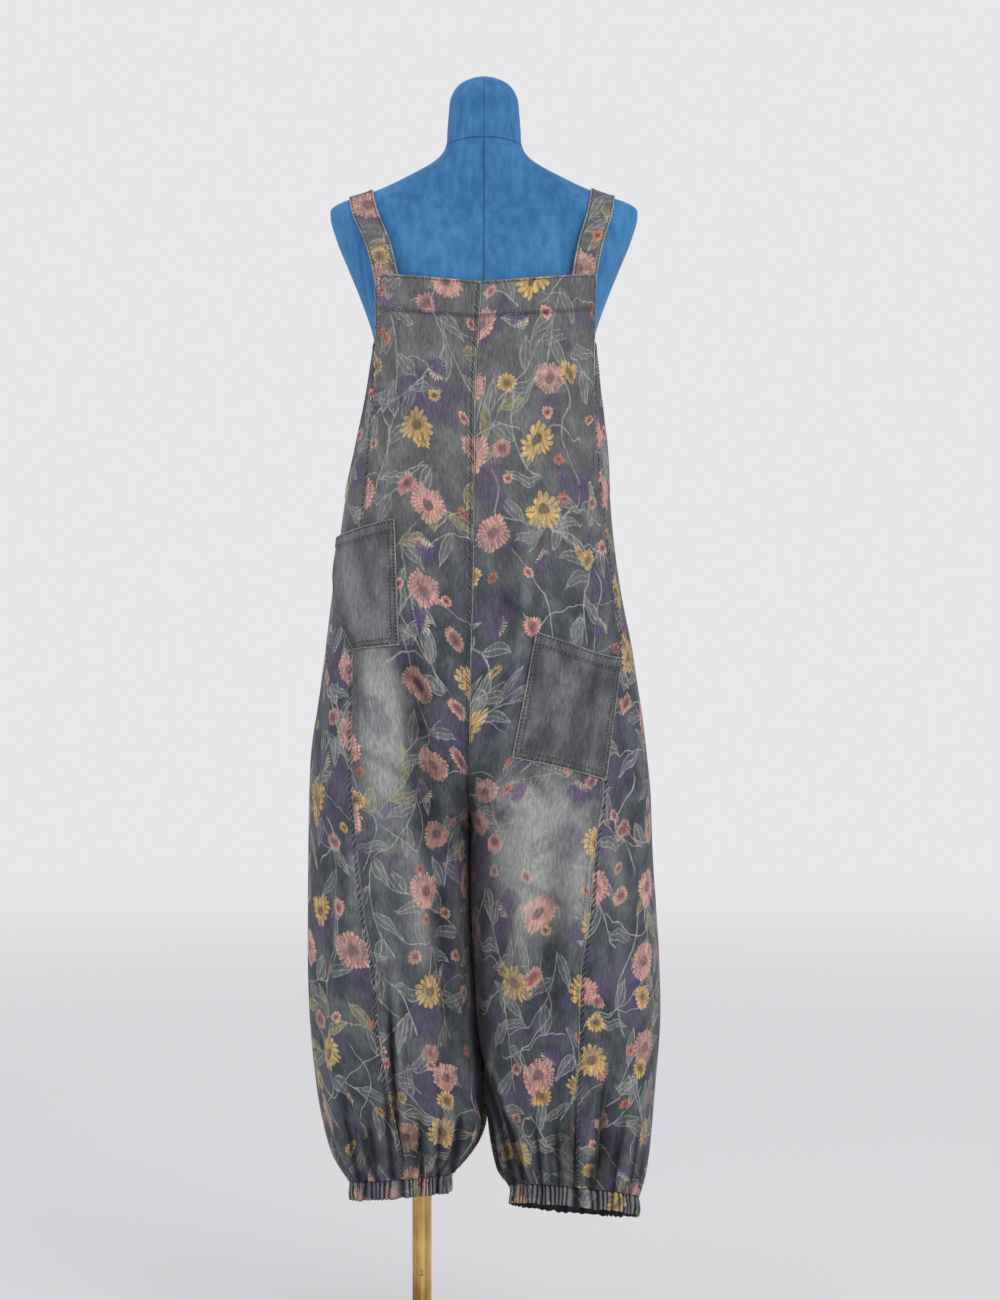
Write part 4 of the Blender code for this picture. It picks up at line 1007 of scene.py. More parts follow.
def link(name, mesh, materials):
    """An object at the origin that carries a finished mesh, smooth below a sharp angle."""
    for finish in materials:
        mesh.materials.append(finish)
    mesh.shade_smooth()
    mesh.set_sharp_from_angle(angle=np.radians(50))
    made = bpy.data.objects.new(name, mesh)
    scene.collection.objects.link(made)
    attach(made, "root")
    return made


def wall(name, outer, inner, flat, materials, closed=False, **values):
    """A closed wall between two grids, with its flat map and any values given at the grid's points.
    The outer side takes the first material, the inner side the second."""
    rows, columns = outer.shape[:2]
    total = rows * columns
    row, column = corner_numbers(rows, columns, closed)
    number = row * columns + column % columns
    first, second = rim_numbers(rows, columns, closed)
    edge_row = np.stack([first[:, 0], second[:, 0], second[:, 0], first[:, 0]], axis=-1)
    edge_column = np.stack([first[:, 1], second[:, 1], second[:, 1], first[:, 1]], axis=-1)
    edge = edge_row * columns + edge_column % columns + np.array([0, 0, total, total])
    faces = np.concatenate([number, number[:, ::-1] + total, edge[:, ::-1]])
    flat_places = [flat[row, column], flat[row, column][:, ::-1], flat[edge_row, edge_column][:, ::-1]]
    flat_places = np.concatenate(flat_places)
    points = np.concatenate([outer.reshape(-1, 3), inner.reshape(-1, 3)])
    if inside_out(points, faces):
        faces, flat_places = faces[:, ::-1], flat_places[:, ::-1]
    mesh = bpy.data.meshes.new(name)
    mesh.from_pydata(points, [], faces)
    sides = np.repeat([0, 1, 0], [len(number), len(number), len(edge)])
    mesh.polygons.foreach_set("material_index", sides.astype(np.int32))
    layer = mesh.uv_layers.new(name="cloth")
    layer.data.foreach_set("uv", flat_places.reshape(-1).astype(np.float32))
    for title, value in values.items():
        kind = "FLOAT_VECTOR" if value.ndim == 3 else "FLOAT"
        field = mesh.attributes.new(title, kind, "POINT")
        both = np.concatenate([value.reshape(total, -1)] * 2).reshape(-1)
        field.data.foreach_set("vector" if value.ndim == 3 else "value", both.astype(np.float32))
    return link(name, mesh, materials)


# %% [markdown]
# Seams, wear and the four panels
#
# Where two panels meet, their edges are folded under, lie double and are stitched down, which makes a flat
# band a centimetre wide. Washing shrinks the thread, and the band puckers and wears pale on its bumps. The
# panels are laid as fine grids, and this low relief is added along their normals from each point's distance
# to the seams.
# Each point also gets painted shade, darker in creases, pleats, gathers and folds, between the legs and
# under the bib's band.

# %% Relief, wear and painted shade
SEAM_BAND, BIB_BAND, HEM_BAND, POCKET_HEM = 0.0105, 0.044, 0.012, 0.016
# Each band's width, its rise, its pucker, and the pucker's pitch and seed.
BANDS = {
    "centre": (SEAM_BAND, 0.0007, 0.00045, 0.0125, 1.0),
    "outseam": (SEAM_BAND, 0.0007, 0.00055, 0.0145, 4.0),
    "bib": (BIB_BAND, 0.0008, 0.0003, 0.020, 2.0),
    "rim": (HEM_BAND, 0.0006, 0.0004, 0.016, 3.0),
    "pocket edge": (SEAM_BAND, 0.0004, 0.0003, 0.013, 2.0),
    "pocket hem": (POCKET_HEM, 0.0007, 0.0003, 0.015, 1.0),
}
BAND_EDGE = 0.0012
GROOVE_DEPTH, GROOVE_WIDTH = 0.0009, 0.0012
FAR = 1.0
SEAM_SLIT = 0.0014
# Wear grows on the ridges of folds, creases and pleats: partly real wear, partly painted highlight.
WEAR_AND_HIGHLIGHT_PER_HEIGHT, WEAR_AND_HIGHLIGHT_PER_PLEAT, WORN_RIM = 45, 110, 0.12
# How deep a crease, a gather or a fold is where its shade is full, and that shade.
SHADES = {"crease": (0.0030, 0.50), "gather": (0.0025, 0.60), "fold": (0.0080, 0.45)}
CROTCH_SHADE, CROTCH_HALF_WIDTH = 0.6, 0.012
BIB_SHADE, BIB_HALF_WIDTH = 0.6, 0.0026
# Each faded patch: face, x, z, half_x, half_z, strength.
FADES = (
    ("back", -0.122, 0.825, 0.032, 0.115, 1.15),
    ("back", 0.082, 0.670, 0.045, 0.100, 1.25),
    ("back", 0.030, 0.700, 0.030, 0.090, 0.55),
    ("back", 0.140, 0.600, 0.030, 0.150, 0.35),
    ("back", -0.080, 0.600, 0.035, 0.140, 0.25),
    ("front", -0.105, 0.780, 0.050, 0.130, 0.90),
    ("front", 0.100, 0.770, 0.050, 0.130, 0.90),
)


def rope(along, pitch, seed):
    """Uneven waves between -1 and 1 along a seam, a pitch apart."""
    return np.sin(2 * np.pi * along / pitch + 1.4 * np.sin(along / 0.031 + seed) + seed)


def band(distance, width):
    """1 within a band's width of an edge, with a soft step down at its side."""
    return 1 - ramp(distance, width - BAND_EDGE, width + BAND_EDGE)


def stitched_band(kind, distance, along):
    """The relief of a folded and stitched band beside an edge: a step up, puckered along it."""
    width, rise, pucker, pitch, seed = BANDS[kind]
    return (rise + pucker * rope(along, pitch, seed)) * band(distance, width)


def nearest_edge(grid, edge):
    """The distance of each point of a grid to the nearest of an edge's points."""
    apart = grid[:, :, None, :] - edge[None, None, ::2, :]
    return np.sqrt((apart**2).sum(axis=-1).min(axis=-1))


def fade_at(face, x, z):
    """How worn the cloth is at this place: soft ovals at the thighs and seat."""
    total = np.zeros(x.shape)
    for where, x_0, z_0, half_x, half_z, strength in FADES:
        if where == face:
            total += strength * np.exp(-(((x - x_0) / half_x) ** 2) - ((z - z_0) / half_z) ** 2)
    return total


def panel(side, face, rows, columns, upper):
    """One of the four large panels, as its outer grid with its distances to the edges, its wear with painted
    highlight, and its painted shade.
    """
    u = np.linspace(0, 1, columns)
    top = back_top(u) if face == "back" else front_top(u)
    above = YOKE_Z + (top - YOKE_Z) * np.linspace(1, 0, upper)[:, None]
    below = np.linspace(YOKE_Z, HEM_Z, rows - upper + 1)[1:, None] + 0 * u
    z = np.concatenate([above, below])
    u = np.broadcast_to(u, z.shape)
    base = cloth_point(side, face, z, u)
    start, up = steps_along(base, 1), steps_along(base[::-1], 0)[::-1]
    end = start[:, -1:] - start
    centre, outseam = (start, end) if face == "back" else (end, start)
    rim = np.full(z.shape, FAR)
    rim[:upper] = nearest_edge(base[:upper], base[0])
    relief = stitched_band("centre", centre, up) + stitched_band("outseam", outseam, up)
    relief -= GROOVE_DEPTH * (bell(centre, GROOVE_WIDTH) + bell(outseam, GROOVE_WIDTH))
    if face == "back":
        rim = np.minimum(rim, np.where(z > BACK_EDGE_Z, outseam, FAR))
        relief += stitched_band("bib", up[0] - up, start)
    relief += stitched_band("rim", rim, start + up)
    outer = base + relief[..., None] * outward(base, side)
    outer = kept_apart(side, outer, z)
    x = base[..., 0] - GARMENT_X
    heights = {
        "crease": crease_height(face, x, z),
        "gather": gather_height(face, z, u) * (1 - ramp(z, 0.28, 0.36)),
        "fold": fold_height(face, x, z),
    }
    # Faded patches and the hem band are wear; paler fold, crease and pleat ridges are partly wear and partly
    # painted highlight.
    worn = fade_at(face, x, z) + WORN_RIM * band(rim, HEM_BAND)
    worn += WEAR_AND_HIGHLIGHT_PER_HEIGHT * np.clip(heights["fold"] + heights["crease"], -0.003, 0.009)
    worn += WEAR_AND_HIGHLIGHT_PER_PLEAT * np.clip(pleat_height(face, x, z), 0, 0.006)
    # Painted shade: darker between the legs, in the pleats, in the troughs of creases, gathers and folds,
    # and in a line under the bib's band.
    between_legs = bell(x - SECTIONS[side]["inner"](z), CROTCH_HALF_WIDTH) * leg_split(z)
    deep = pleat_shade(face, x, z) + CROTCH_SHADE * between_legs
    for kind, (full, shade) in SHADES.items():
        deep += shade * np.clip(-heights[kind] / full, 0, 1)
    if face == "back":
        deep += BIB_SHADE * bell(up[0] - up - BIB_BAND, BIB_HALF_WIDTH)
    beside_centre = -side * centre + (SEAM_SLIT if side < 0 else 0)
    beside_outseam = -outseam if face == "back" else outseam + SEAM_SLIT
    edges = np.stack([beside_centre, beside_outseam, rim], axis=-1)
    return outer, z, (start, end, up), {"edges": edges, "wear": worn, "deep": np.clip(deep, 0, 1)}


def outward(grid, side):
    """The grid's normals turned to point out of the leg or the body."""
    normal = normals_of(grid)
    middle = grid.mean(axis=(0, 1)) * np.array([1, 0, 1])
    facing = np.einsum("ijk,ijk->", normal, grid - middle)
    return normal if facing > 0 else -normal


def kept_apart(side, grid, z):
    """The grid with every point held on its own side of the centre seam and of the gap between the legs."""
    x = keep_to_side(side, grid[..., 0] - GARMENT_X, grid[..., 1], z) + GARMENT_X
    return np.concatenate([x[..., None], grid[..., 1:]], axis=-1)


# %% [markdown]
# The cloth's own map
#
# The print lies on a panel as it lay on the flat cloth, so each point is given its distance from the outseam
# and from the hem. Above the yoke the front's rows climb with the armhole; there the cloth is measured level
# from the centre front and straight up, so that its flowers stay round.

# %% The four panels
PANEL_GRIDS = {"back": (290, 108, 92), "front": (250, 124, 76)}
LEVEL_STEPS = 36


def front_flat(side, z, start, up):
    """The front panel laid flat: distance from the outseam, and from the hem, of every point."""
    yoke = PANEL_GRIDS["front"][2] - 1
    high = z[: yoke + 1]
    angle = angle_on(side, "front", high, np.linspace(0, 1, z.shape[1]))
    share = np.linspace(0, 1, LEVEL_STEPS)[:, None, None]
    points = point_at(side, angle + (section_of(side, high)[2] - angle) * share, high, 0.0)
    level = np.linalg.norm(np.diff(points, axis=0), axis=-1).sum(axis=0)
    from_outseam = np.concatenate([start[yoke, -1] - level, start[yoke + 1 :]])
    return from_outseam, np.concatenate([up[yoke] + high - YOKE_Z, up[yoke + 1 :]])


PRINT_SHIFTS = {
    (-1, "back"): (0.31, 0.22),
    (1, "back"): (2.07, 0.83),
    (-1, "front"): (4.4, 1.9),
    (1, "front"): (6.1, 3.2),
}
SIDE_NAMES = {-1: "left", 1: "right"}
panels = {}
for (side, face), shift in PRINT_SHIFTS.items():
    outer, z, (start, end, up), looks = panel(side, face, *PANEL_GRIDS[face])
    inner = outer - WALL * outward(outer, side)
    inner[:, 0] = outer[:, 0] - np.array([0, np.sign(outer[0, 0, 1]) * WALL, 0])
    if face == "front":
        inner[:, -1] = outer[:, -1] - np.array([0, WALL, 0])
    inner = kept_apart(side, inner, z)
    from_outseam, from_hem = (end, up) if face == "back" else front_flat(side, z, start, up)
    flat = np.stack([-side * from_outseam + shift[0], from_hem + shift[1]], axis=-1)
    name = f"{face}_{SIDE_NAMES[side]}_panel"
    made = wall(f"cloth_{name}", outer, inner, flat, (PRINTED, INSIDE_DENIM), **looks)
    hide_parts(name)
    panels[side, face] = {"outer": outer, "start": start, "up": up, "piece": made}
    print(name, "laid flat:", round(start[:, -1].max(), 3), "by", round(up[0].max(), 3), "m")

# %% [markdown]
# Cuffs
#
# Each leg ends in a channel of cloth with elastic inside, which draws it into small standing ruffles, tight
# at the seam and open at the edge. One grid runs all the way round the leg. On top of the solid's own
# gathers runs a finer wave with round crests and sharp valleys, uneven in its pace and its height.

# %% The gathered cuffs
CUFF_HEIGHT = 0.0235
CUFF_FULLNESS = 1.5
CUFF_ROWS = 18
CUFF_COLUMNS = 864
CUFF_GAP = 0.0005
CUFF_SWELL, CUFF_DRAW = 0.0022, 0.0016
RUFFLE_PACE, RUFFLE_LEAN, RUFFLE_SHARPNESS = 1.32, 1.4, 0.7
RUFFLE_HEIGHT, RUFFLE_DROP, RUFFLE_MIDDLE = 0.0040, 0.0022, 0.75


def cuff(side):
    """The ring under a leg: z falls by the cuff's height, and each row swells and ruffles by its place."""
    down = np.linspace(0, 1, CUFF_ROWS)[:, None]
    turn = np.linspace(0, 2, CUFF_COLUMNS, endpoint=False)[None, :]
    z = np.broadcast_to(HEM_Z - CUFF_GAP - CUFF_HEIGHT * down, (CUFF_ROWS, CUFF_COLUMNS))
    turn = np.broadcast_to(turn, z.shape)
    drawn = CUFF_SWELL * np.sin(np.pi * down) - CUFF_DRAW
    wave = (BACK_GATHERS * np.minimum(turn, 1) + FRONT_GATHERS * np.maximum(turn - 1, 0)) * np.pi
    lean = 0.7 * np.sin(wave / 3.3) + 0.5 * np.sin(wave / 1.9 + 1.0) + 0.5 * down * np.sin(wave / 2.3)
    crest = np.abs(np.cos(RUFFLE_PACE * wave + RUFFLE_LEAN * lean)) ** RUFFLE_SHARPNESS
    uneven = 0.75 + 0.25 * np.sin(wave / 2.7 + 0.5)
    swell = drawn + RUFFLE_HEIGHT * (crest - RUFFLE_MIDDLE) * uneven
    outer = cloth_round(side, z, turn, swell)
    outer[..., 2] -= RUFFLE_DROP * (crest * uneven - 0.5) * down
    return outer, z, crest


for side in (-1, 1):
    outer, z, crest = cuff(side)
    wide = np.concatenate([outer[:, -2:], outer, outer[:, :2]], axis=1)
    normal = outward(wide, side)[:, 2:-2]
    inner = outer - WALL * normal
    inner = kept_apart(side, inner, z)
    round_once = np.concatenate([outer, outer[:, :1]], axis=1)
    along = steps_along(round_once, 1)
    height = np.broadcast_to(np.linspace(CUFF_HEIGHT, 0, CUFF_ROWS)[:, None], along.shape)
    flat = np.stack([along * CUFF_FULLNESS + 8.3 * side, height + 5.1], axis=-1)
    # Paler crests, partly wear and partly painted highlight; painted shade in the ruffles' valleys and along
    # the cuff's top seam.
    looks = {
        "edges": np.ones((*outer.shape[:2], 3)),
        "wear": 0.55 * np.clip(crest * 2 - 1, 0, 1),
        "deep": np.clip(1.45 - crest * 1.7, 0, 1) + 0.6 * band(CUFF_HEIGHT - height[:, :-1], 0.0012),
    }
    name = f"cuff_{SIDE_NAMES[side]}"
    made = wall(f"cloth_{name}", outer, inner, flat, (PRINTED, INSIDE_DENIM), True, **looks)
    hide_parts(name)
    print(name, "is", round(along[:, -1].mean(), 3), "m round over its ruffles")

# %% [markdown]
# Patch pockets
#
# A patch pocket is a flat piece laid on the leg with its edges folded under and stitched twice on three
# sides. Its top is hemmed and sags open a little. The grid is laid on the leg's own surface at each corner's
# place and moved out, more in the middle, where hands have stretched it.

# %% The two pockets
POCKET_LIFT = 0.0016
POCKET_PUFF = 0.0034
POCKET_SAG = 0.006
POCKET_STEPS = 72
POCKET_WEAR = {-1: 0.85, 1: 0.15}
# Each pocket's corners as x and z: top outer, top inner, bottom inner, bottom outer.
POCKET_CORNERS = {
    -1: ((-0.1850, 1.0660), (-0.1090, 1.0860), (-0.1040, 0.9300), (-0.1600, 0.9240)),
    1: ((0.1700, 0.9140), (0.0630, 0.9457), (0.0357, 0.7921), (0.1500, 0.7625)),
}
# Each wrinkle, in shares of the pocket's width and height: s_start, t_start, s_end, t_end, half_width, and
# its height in metres.
POCKET_WRINKLES = {
    -1: ((0.55, 0.10, 0.62, 0.85, 0.06, 0.0020), (0.30, 0.2, 0.34, 0.7, 0.07, -0.0010)),
    1: (
        (0.45, 0.12, 0.36, 0.88, 0.060, 0.0024),
        (0.62, 0.10, 0.70, 0.80, 0.050, -0.0020),
        (0.15, 0.30, 0.30, 0.60, 0.060, 0.0014),
        (0.60, 0.88, 0.90, 0.70, 0.050, 0.0012),
    ),
}


def pocket_grid(side, corners):
    """Points of the leg's surface under a pocket: s runs from its inner edge out, t from its top down."""
    steps = np.linspace(0, 1, POCKET_STEPS + 1)
    s, t = np.meshgrid(steps, steps)
    top_outer, top_inner, bottom_inner, bottom_outer = np.array(corners)
    inner_x, inner_z = ((1 - t)[..., None] * top_inner + t[..., None] * bottom_inner).T.swapaxes(1, 2)
    outer_x, outer_z = ((1 - t)[..., None] * top_outer + t[..., None] * bottom_outer).T.swapaxes(1, 2)
    inner_end = angle_past_side(side, inner_x, inner_z)
    outer_end = angle_past_side(side, outer_x, outer_z)
    if side * (top_outer[0] - SECTIONS[side]["outer"](top_outer[1])) > 0:
        outer_end = (1 - t) * outer_end[0] + t * outer_end[-1]
    angle = (1 - s) * inner_end + s * outer_end
    z = (1 - s) * inner_z + s * outer_z - POCKET_SAG * np.sin(np.pi * s**1.4) * (1 - t) ** 2
    return s, t, point_at(side, angle, z, 0.0)


pockets = {}
for side, corners in POCKET_CORNERS.items():
    s, t, base = pocket_grid(side, corners)
    across, down = steps_along(base, 1), steps_along(base, 0)
    sewn = np.minimum(np.minimum(across, across[:, -1:] - across), down[-1:] - down)
    puff = np.sin(np.pi * s) ** 0.8 * np.sin(np.pi * np.clip(t, 0.10, 1)) ** 0.5
    wrinkle = bells_on_lines(s, t, POCKET_WRINKLES[side], 0.0, (0.15, 0.3))
    lift = POCKET_LIFT + POCKET_PUFF * puff + wrinkle * ramp(sewn, 0.006, 0.02)
    lift += stitched_band("pocket edge", sewn, down + across)
    lift += stitched_band("pocket hem", down, across)
    inner = base + lift[..., None] * outward(base, side)
    outer = inner + WALL * outward(inner, side)
    flat = np.stack([across + 3.0 * side, down + 2.0], axis=-1)
    hem = band(down, POCKET_HEM)
    # Wear on the stretched middle and the hem; wrinkle ridges paler, partly wear and partly painted
    # highlight. Painted shade in the wrinkles' troughs and along the hem's stitched edge.
    looks = {
        "wear": POCKET_WEAR[side] * np.clip(puff, 0, 1) ** 2 + 120 * wrinkle + 0.2 * hem,
        "edges": np.stack([sewn, down, np.full(s.shape, FAR)], axis=-1),
        "deep": np.clip(-wrinkle / 0.004, 0, 1) + 0.5 * bell(down - POCKET_HEM, 0.0012),
    }
    name = f"pocket_{SIDE_NAMES[side]}"
    made = wall(f"cloth_{name}", outer, inner, flat, (PLAIN_DENIM, INSIDE_DENIM), **looks)
    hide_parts(name)
    pockets[side] = {"outer": outer, "across": across, "down": down, "piece": made}
    print(name, "is", round(across[:, -1].mean(), 3), "by", round(down[-1].mean(), 3), "m")

# %% [markdown]
# The dress form
#
# The form is a padded shell covered in blue velvet: a torso cut off under the hips, sloping shoulders that
# end in rounded corners, and a neck with a domed cap. It follows its own table of sections, from the cap
# down. Seams run down its middle and round the foot of its neck.

# %% The form's surface
FORM_COLUMNS = ("z", "half_width", "back", "front", "forward")
FORM_SECTIONS = (
    (1.6555, 0.0060, 0.0060, 0.0065, 0.012),
    (1.6543, 0.0125, 0.0125, 0.0135, 0.012),
    (1.6522, 0.0190, 0.0190, 0.0205, 0.012),
    (1.6497, 0.0246, 0.0246, 0.0266, 0.012),
    (1.6460, 0.0308, 0.0308, 0.0333, 0.012),
    (1.6395, 0.0370, 0.0372, 0.0402, 0.012),
    (1.6300, 0.0418, 0.0424, 0.0462, 0.011),
    (1.6073, 0.0452, 0.0455, 0.0490, 0.010),
    (1.5856, 0.0468, 0.0465, 0.0500, 0.008),
    (1.5665, 0.0486, 0.0475, 0.0515, 0.007),
    (1.5556, 0.0537, 0.0495, 0.0525, 0.005),
    (1.5474, 0.0618, 0.0500, 0.0530, 0.005),
    (1.5393, 0.0740, 0.0500, 0.0530, 0.004),
    (1.5285, 0.0944, 0.0490, 0.0520, 0.003),
    (1.5176, 0.1160, 0.0485, 0.0510, 0.002),
    (1.5096, 0.1340, 0.0475, 0.0495, 0.002),
    (1.5000, 0.1600, 0.0460, 0.0480, 0.001),
    (1.4940, 0.1780, 0.0465, 0.0485, 0.0),
    (1.4880, 0.1905, 0.0490, 0.0510, 0.0),
    (1.4830, 0.1950, 0.0515, 0.0535, 0.0),
    (1.4760, 0.1955, 0.0550, 0.0570, 0.0),
    (1.4460, 0.1879, 0.0680, 0.0700, 0.0),
    (1.4065, 0.1720, 0.0840, 0.0860, 0.0),
    (1.3670, 0.1560, 0.0900, 0.1000, 0.0),
    (1.3237, 0.1414, 0.0920, 0.1080, 0.0),
    (1.2500, 0.1340, 0.0900, 0.1100, 0.0),
    (1.1800, 0.1280, 0.0830, 0.1030, 0.0),
    (1.1150, 0.1230, 0.0780, 0.0940, 0.0),
    (1.0300, 0.1400, 0.0900, 0.0970, 0.0),
    (0.9300, 0.1600, 0.1000, 0.0970, 0.0),
    (0.8600, 0.1580, 0.0990, 0.0930, 0.0),
    (0.8060, 0.1500, 0.0930, 0.0880, 0.0),
    (0.8000, 0.1440, 0.0880, 0.0830, 0.0),
)
FORM_SIDES = 96
CAP_Z, NECK_SEAM_Z = 1.57, 1.5705
SEAM_LINE = (0.0014, 0.0005)
FORM = table_curves(FORM_COLUMNS, FORM_SECTIONS)
FORM_TOP, FORM_BOTTOM = FORM_SECTIONS[0][0], FORM_SECTIONS[-1][0]


def form_roundness(z):
    """A round neck, and a torso like a rounded square."""
    return 2.0 + (ROUNDNESS - 2.0) * ramp(-z, -1.52, -1.48)


def form_point(z, turn):
    """The form's surface: a rounded section whose depth differs behind and in front."""
    power = 2 / form_roundness(z)
    across = np.sign(np.cos(turn)) * np.abs(np.cos(turn)) ** power
    along = np.sign(np.sin(turn)) * np.abs(np.sin(turn)) ** power
    depth = np.where(along < 0, FORM["back"](z), FORM["front"](z))
    y = depth * along + FORM["forward"](z)
    return np.stack([GARMENT_X + FORM["half_width"](z) * across, y, z + 0 * across], axis=-1)


def lathe(name, grid, materials):
    """A closed body from rings of points, with a fan of triangles over each end."""
    rows, columns = grid.shape[:2]
    row, column = corner_numbers(rows, columns, True)
    quads = row * columns + column % columns
    points = np.concatenate([grid.reshape(-1, 3), grid[[0, -1]].mean(axis=1)])
    i = np.arange(columns)
    ahead, last_row = (i + 1) % columns, (rows - 1) * columns
    first = np.stack([0 * i + rows * columns, ahead, i], axis=-1)
    last = np.stack([0 * i + rows * columns + 1, last_row + i, last_row + ahead], axis=-1)
    faces = quads.tolist() + first.tolist() + last.tolist()
    if inside_out(points, quads):
        faces = [face[::-1] for face in faces]
    mesh = bpy.data.meshes.new(name)
    mesh.from_pydata(points, [], faces)
    return link(name, mesh, materials)


def velvet(name):
    """Short pile that is lighter where it is brushed one way, darker in the seams."""
    graph = Graph(name)
    place = graph.node("TexCoord", out="Object")
    parts = graph.node("SeparateXYZ", {}, {0: place})
    x, z = abs(parts - GARMENT_X), parts.of("Z")
    nap = graph.noise(graph.stretch(place, (1.0, 1.0, 0.45)), 11.0, 5.0)
    brushed = graph.noise(graph.stretch(place, (1.0, 1.0, 0.3)), 110.0, 4.0)
    light = graph.soft(nap * 0.5 + brushed * 0.5, 0.32, 0.70)
    colour = graph.mix(light, srgb(50, 105, 156), srgb(76, 137, 188))
    centre = graph.soft(x, *SEAM_LINE) * (1 - (z > CAP_Z) * 0.45)
    neck = graph.soft(abs(z - NECK_SEAM_Z + x * x * 2.2), *SEAM_LINE) * (x < 0.06)
    seam = centre.math("MAXIMUM", neck)
    colour = graph.mix(seam * 0.55, colour, srgb(14, 48, 88))
    fibre = graph.noise(place, 900.0, 2.0)
    height = fibre * 0.25 + light * 0.4 - seam
    graph.shader.inputs["Sheen Weight"].default_value = 0.35
    graph.shader.inputs["Sheen Roughness"].default_value = 0.35
    graph.shader.inputs["Sheen Tint"].default_value = srgb(170, 200, 222)
    graph.shader.inputs["Specular IOR Level"].default_value = 0.2
    return graph.finish(0.85, Base_Color=colour, Normal=graph.bump(height, 0.0012, 0.6))


# The rows of the form lie closer where it bends more: each stretch's end and its number of rows.
FORM_ROWS = ((1.630, 24), (1.505, 50), (1.470, 36), (FORM_BOTTOM + 0.008, 110), (FORM_BOTTOM, 6))
z_form = np.array([FORM_TOP])
for stretch_end, count in FORM_ROWS:
    z_form = np.append(z_form, np.linspace(z_form[-1], stretch_end, count)[1:])
turn_form = np.linspace(0, 2 * np.pi, FORM_SIDES, endpoint=False)
VELVET = velvet("blue velvet")
torso = lathe("velvet_form", form_point(z_form[:, None], turn_form[None, :]), (VELVET,))
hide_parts("form_body")
print("form spans", [round(v, 3) for v in (z_form.min(), z_form.max())])

# %% [markdown]
# Straps
#
# Each strap is a folded ribbon of the same cloth, three centimetres wide. It starts behind the back bib's
# top edge, leans on the shoulder and ends behind the front bib. Its path is found by lines from a point
# inside the shoulder: where a line leaves the form, the strap lies just outside.

# %% The straps
STRAP_WIDTH = 0.030
STRAP_WALL = 0.0022
STRAP_CLEARANCE = 0.0009
STRAP_TURN_Z = 1.435
STRAP_TUCK = 0.010
STRAP_GRID = (190, 15)
STRAP_PATHS = {-1: (-0.1197, -0.1560, -0.1020), 1: (0.1240, 0.1510, 0.1020)}


def bib_depth(side, face, x, z):
    """How far behind or in front of the centre the bib's outer surface lies at x."""
    middle, half, _ = section_of(side, z)
    share = np.clip(np.abs(x - middle) / half, 0, 1)
    return SECTIONS[side][face](z) * (1 - share**ROUNDNESS) ** (1 / ROUNDNESS)


def reach_out_of_form(x, angle):
    """How far a line at this angle runs from the turning point, in the plane of x, inside the form."""
    length = np.linspace(0.01, 0.20, 500)
    y, z = -np.cos(angle)[..., None] * length, STRAP_TURN_Z + np.sin(angle)[..., None] * length
    share = np.clip(np.abs(x[..., None] - GARMENT_X) / FORM["half_width"](z), 0, 1)
    power = form_roundness(z)
    depth = np.where(y < FORM["forward"](z), FORM["back"](z), FORM["front"](z))
    inside = np.abs(y - FORM["forward"](z)) < depth * (1 - share**power) ** (1 / power)
    return np.where(inside, length, 0).max(axis=-1)


def blurred(rows, times):
    """The values of each column, evened out along the rows."""
    for _ in range(times):
        padded = np.pad(rows, ((1, 1), (0, 0)), mode="edge")
        rows = 0.25 * padded[:-2] + 0.5 * rows + 0.25 * padded[2:]
    return rows


def strap_grid(side):
    """The strap's under side: reach over the form, lifted towards both bibs, along a path that leans in."""
    start_x, shoulder_x, end_x = STRAP_PATHS[side]
    start_z, end_z = BIB_TOP_Z - STRAP_TUCK, FRONT_BIB_Z - STRAP_TUCK
    across = np.linspace(-STRAP_WIDTH / 2, STRAP_WIDTH / 2, STRAP_GRID[1])
    tucked = WALL + STRAP_WALL + 0.0006
    first = -bib_depth(side, "back", start_x + across, start_z) + tucked
    last = bib_depth(side, "front", end_x + across, end_z) - tucked
    angle_0 = np.arctan2(start_z - STRAP_TURN_Z, -first)
    angle_1 = np.pi - np.arctan2(end_z - STRAP_TURN_Z, last)
    share = np.linspace(0, 1, STRAP_GRID[0])[:, None]
    angle = angle_0 + (angle_1 - angle_0) * share
    peak = (np.pi / 2 - angle_0) / (angle_1 - angle_0)
    climbed = (np.sin(angle) - np.sin(angle_0)) / (1 - np.sin(angle_0))
    rising = start_x + (shoulder_x - start_x) * climbed
    falling = shoulder_x + (end_x - shoulder_x) * ramp(share, peak, 1)
    x = np.where(share < peak, rising, falling) + across + GARMENT_X
    reach = blurred(reach_out_of_form(x, angle), 12) + STRAP_CLEARANCE
    lift_0 = np.hypot(first, start_z - STRAP_TURN_Z) - reach[0]
    lift_1 = np.hypot(last, end_z - STRAP_TURN_Z) - reach[-1]
    reach = reach + lift_0 * (1 - ramp(share, 0.04, 0.75 * peak)) + lift_1 * ramp(share, peak + 0.2, 0.97)
    return np.stack([x, -np.cos(angle) * reach, STRAP_TURN_Z + np.sin(angle) * reach], axis=-1)


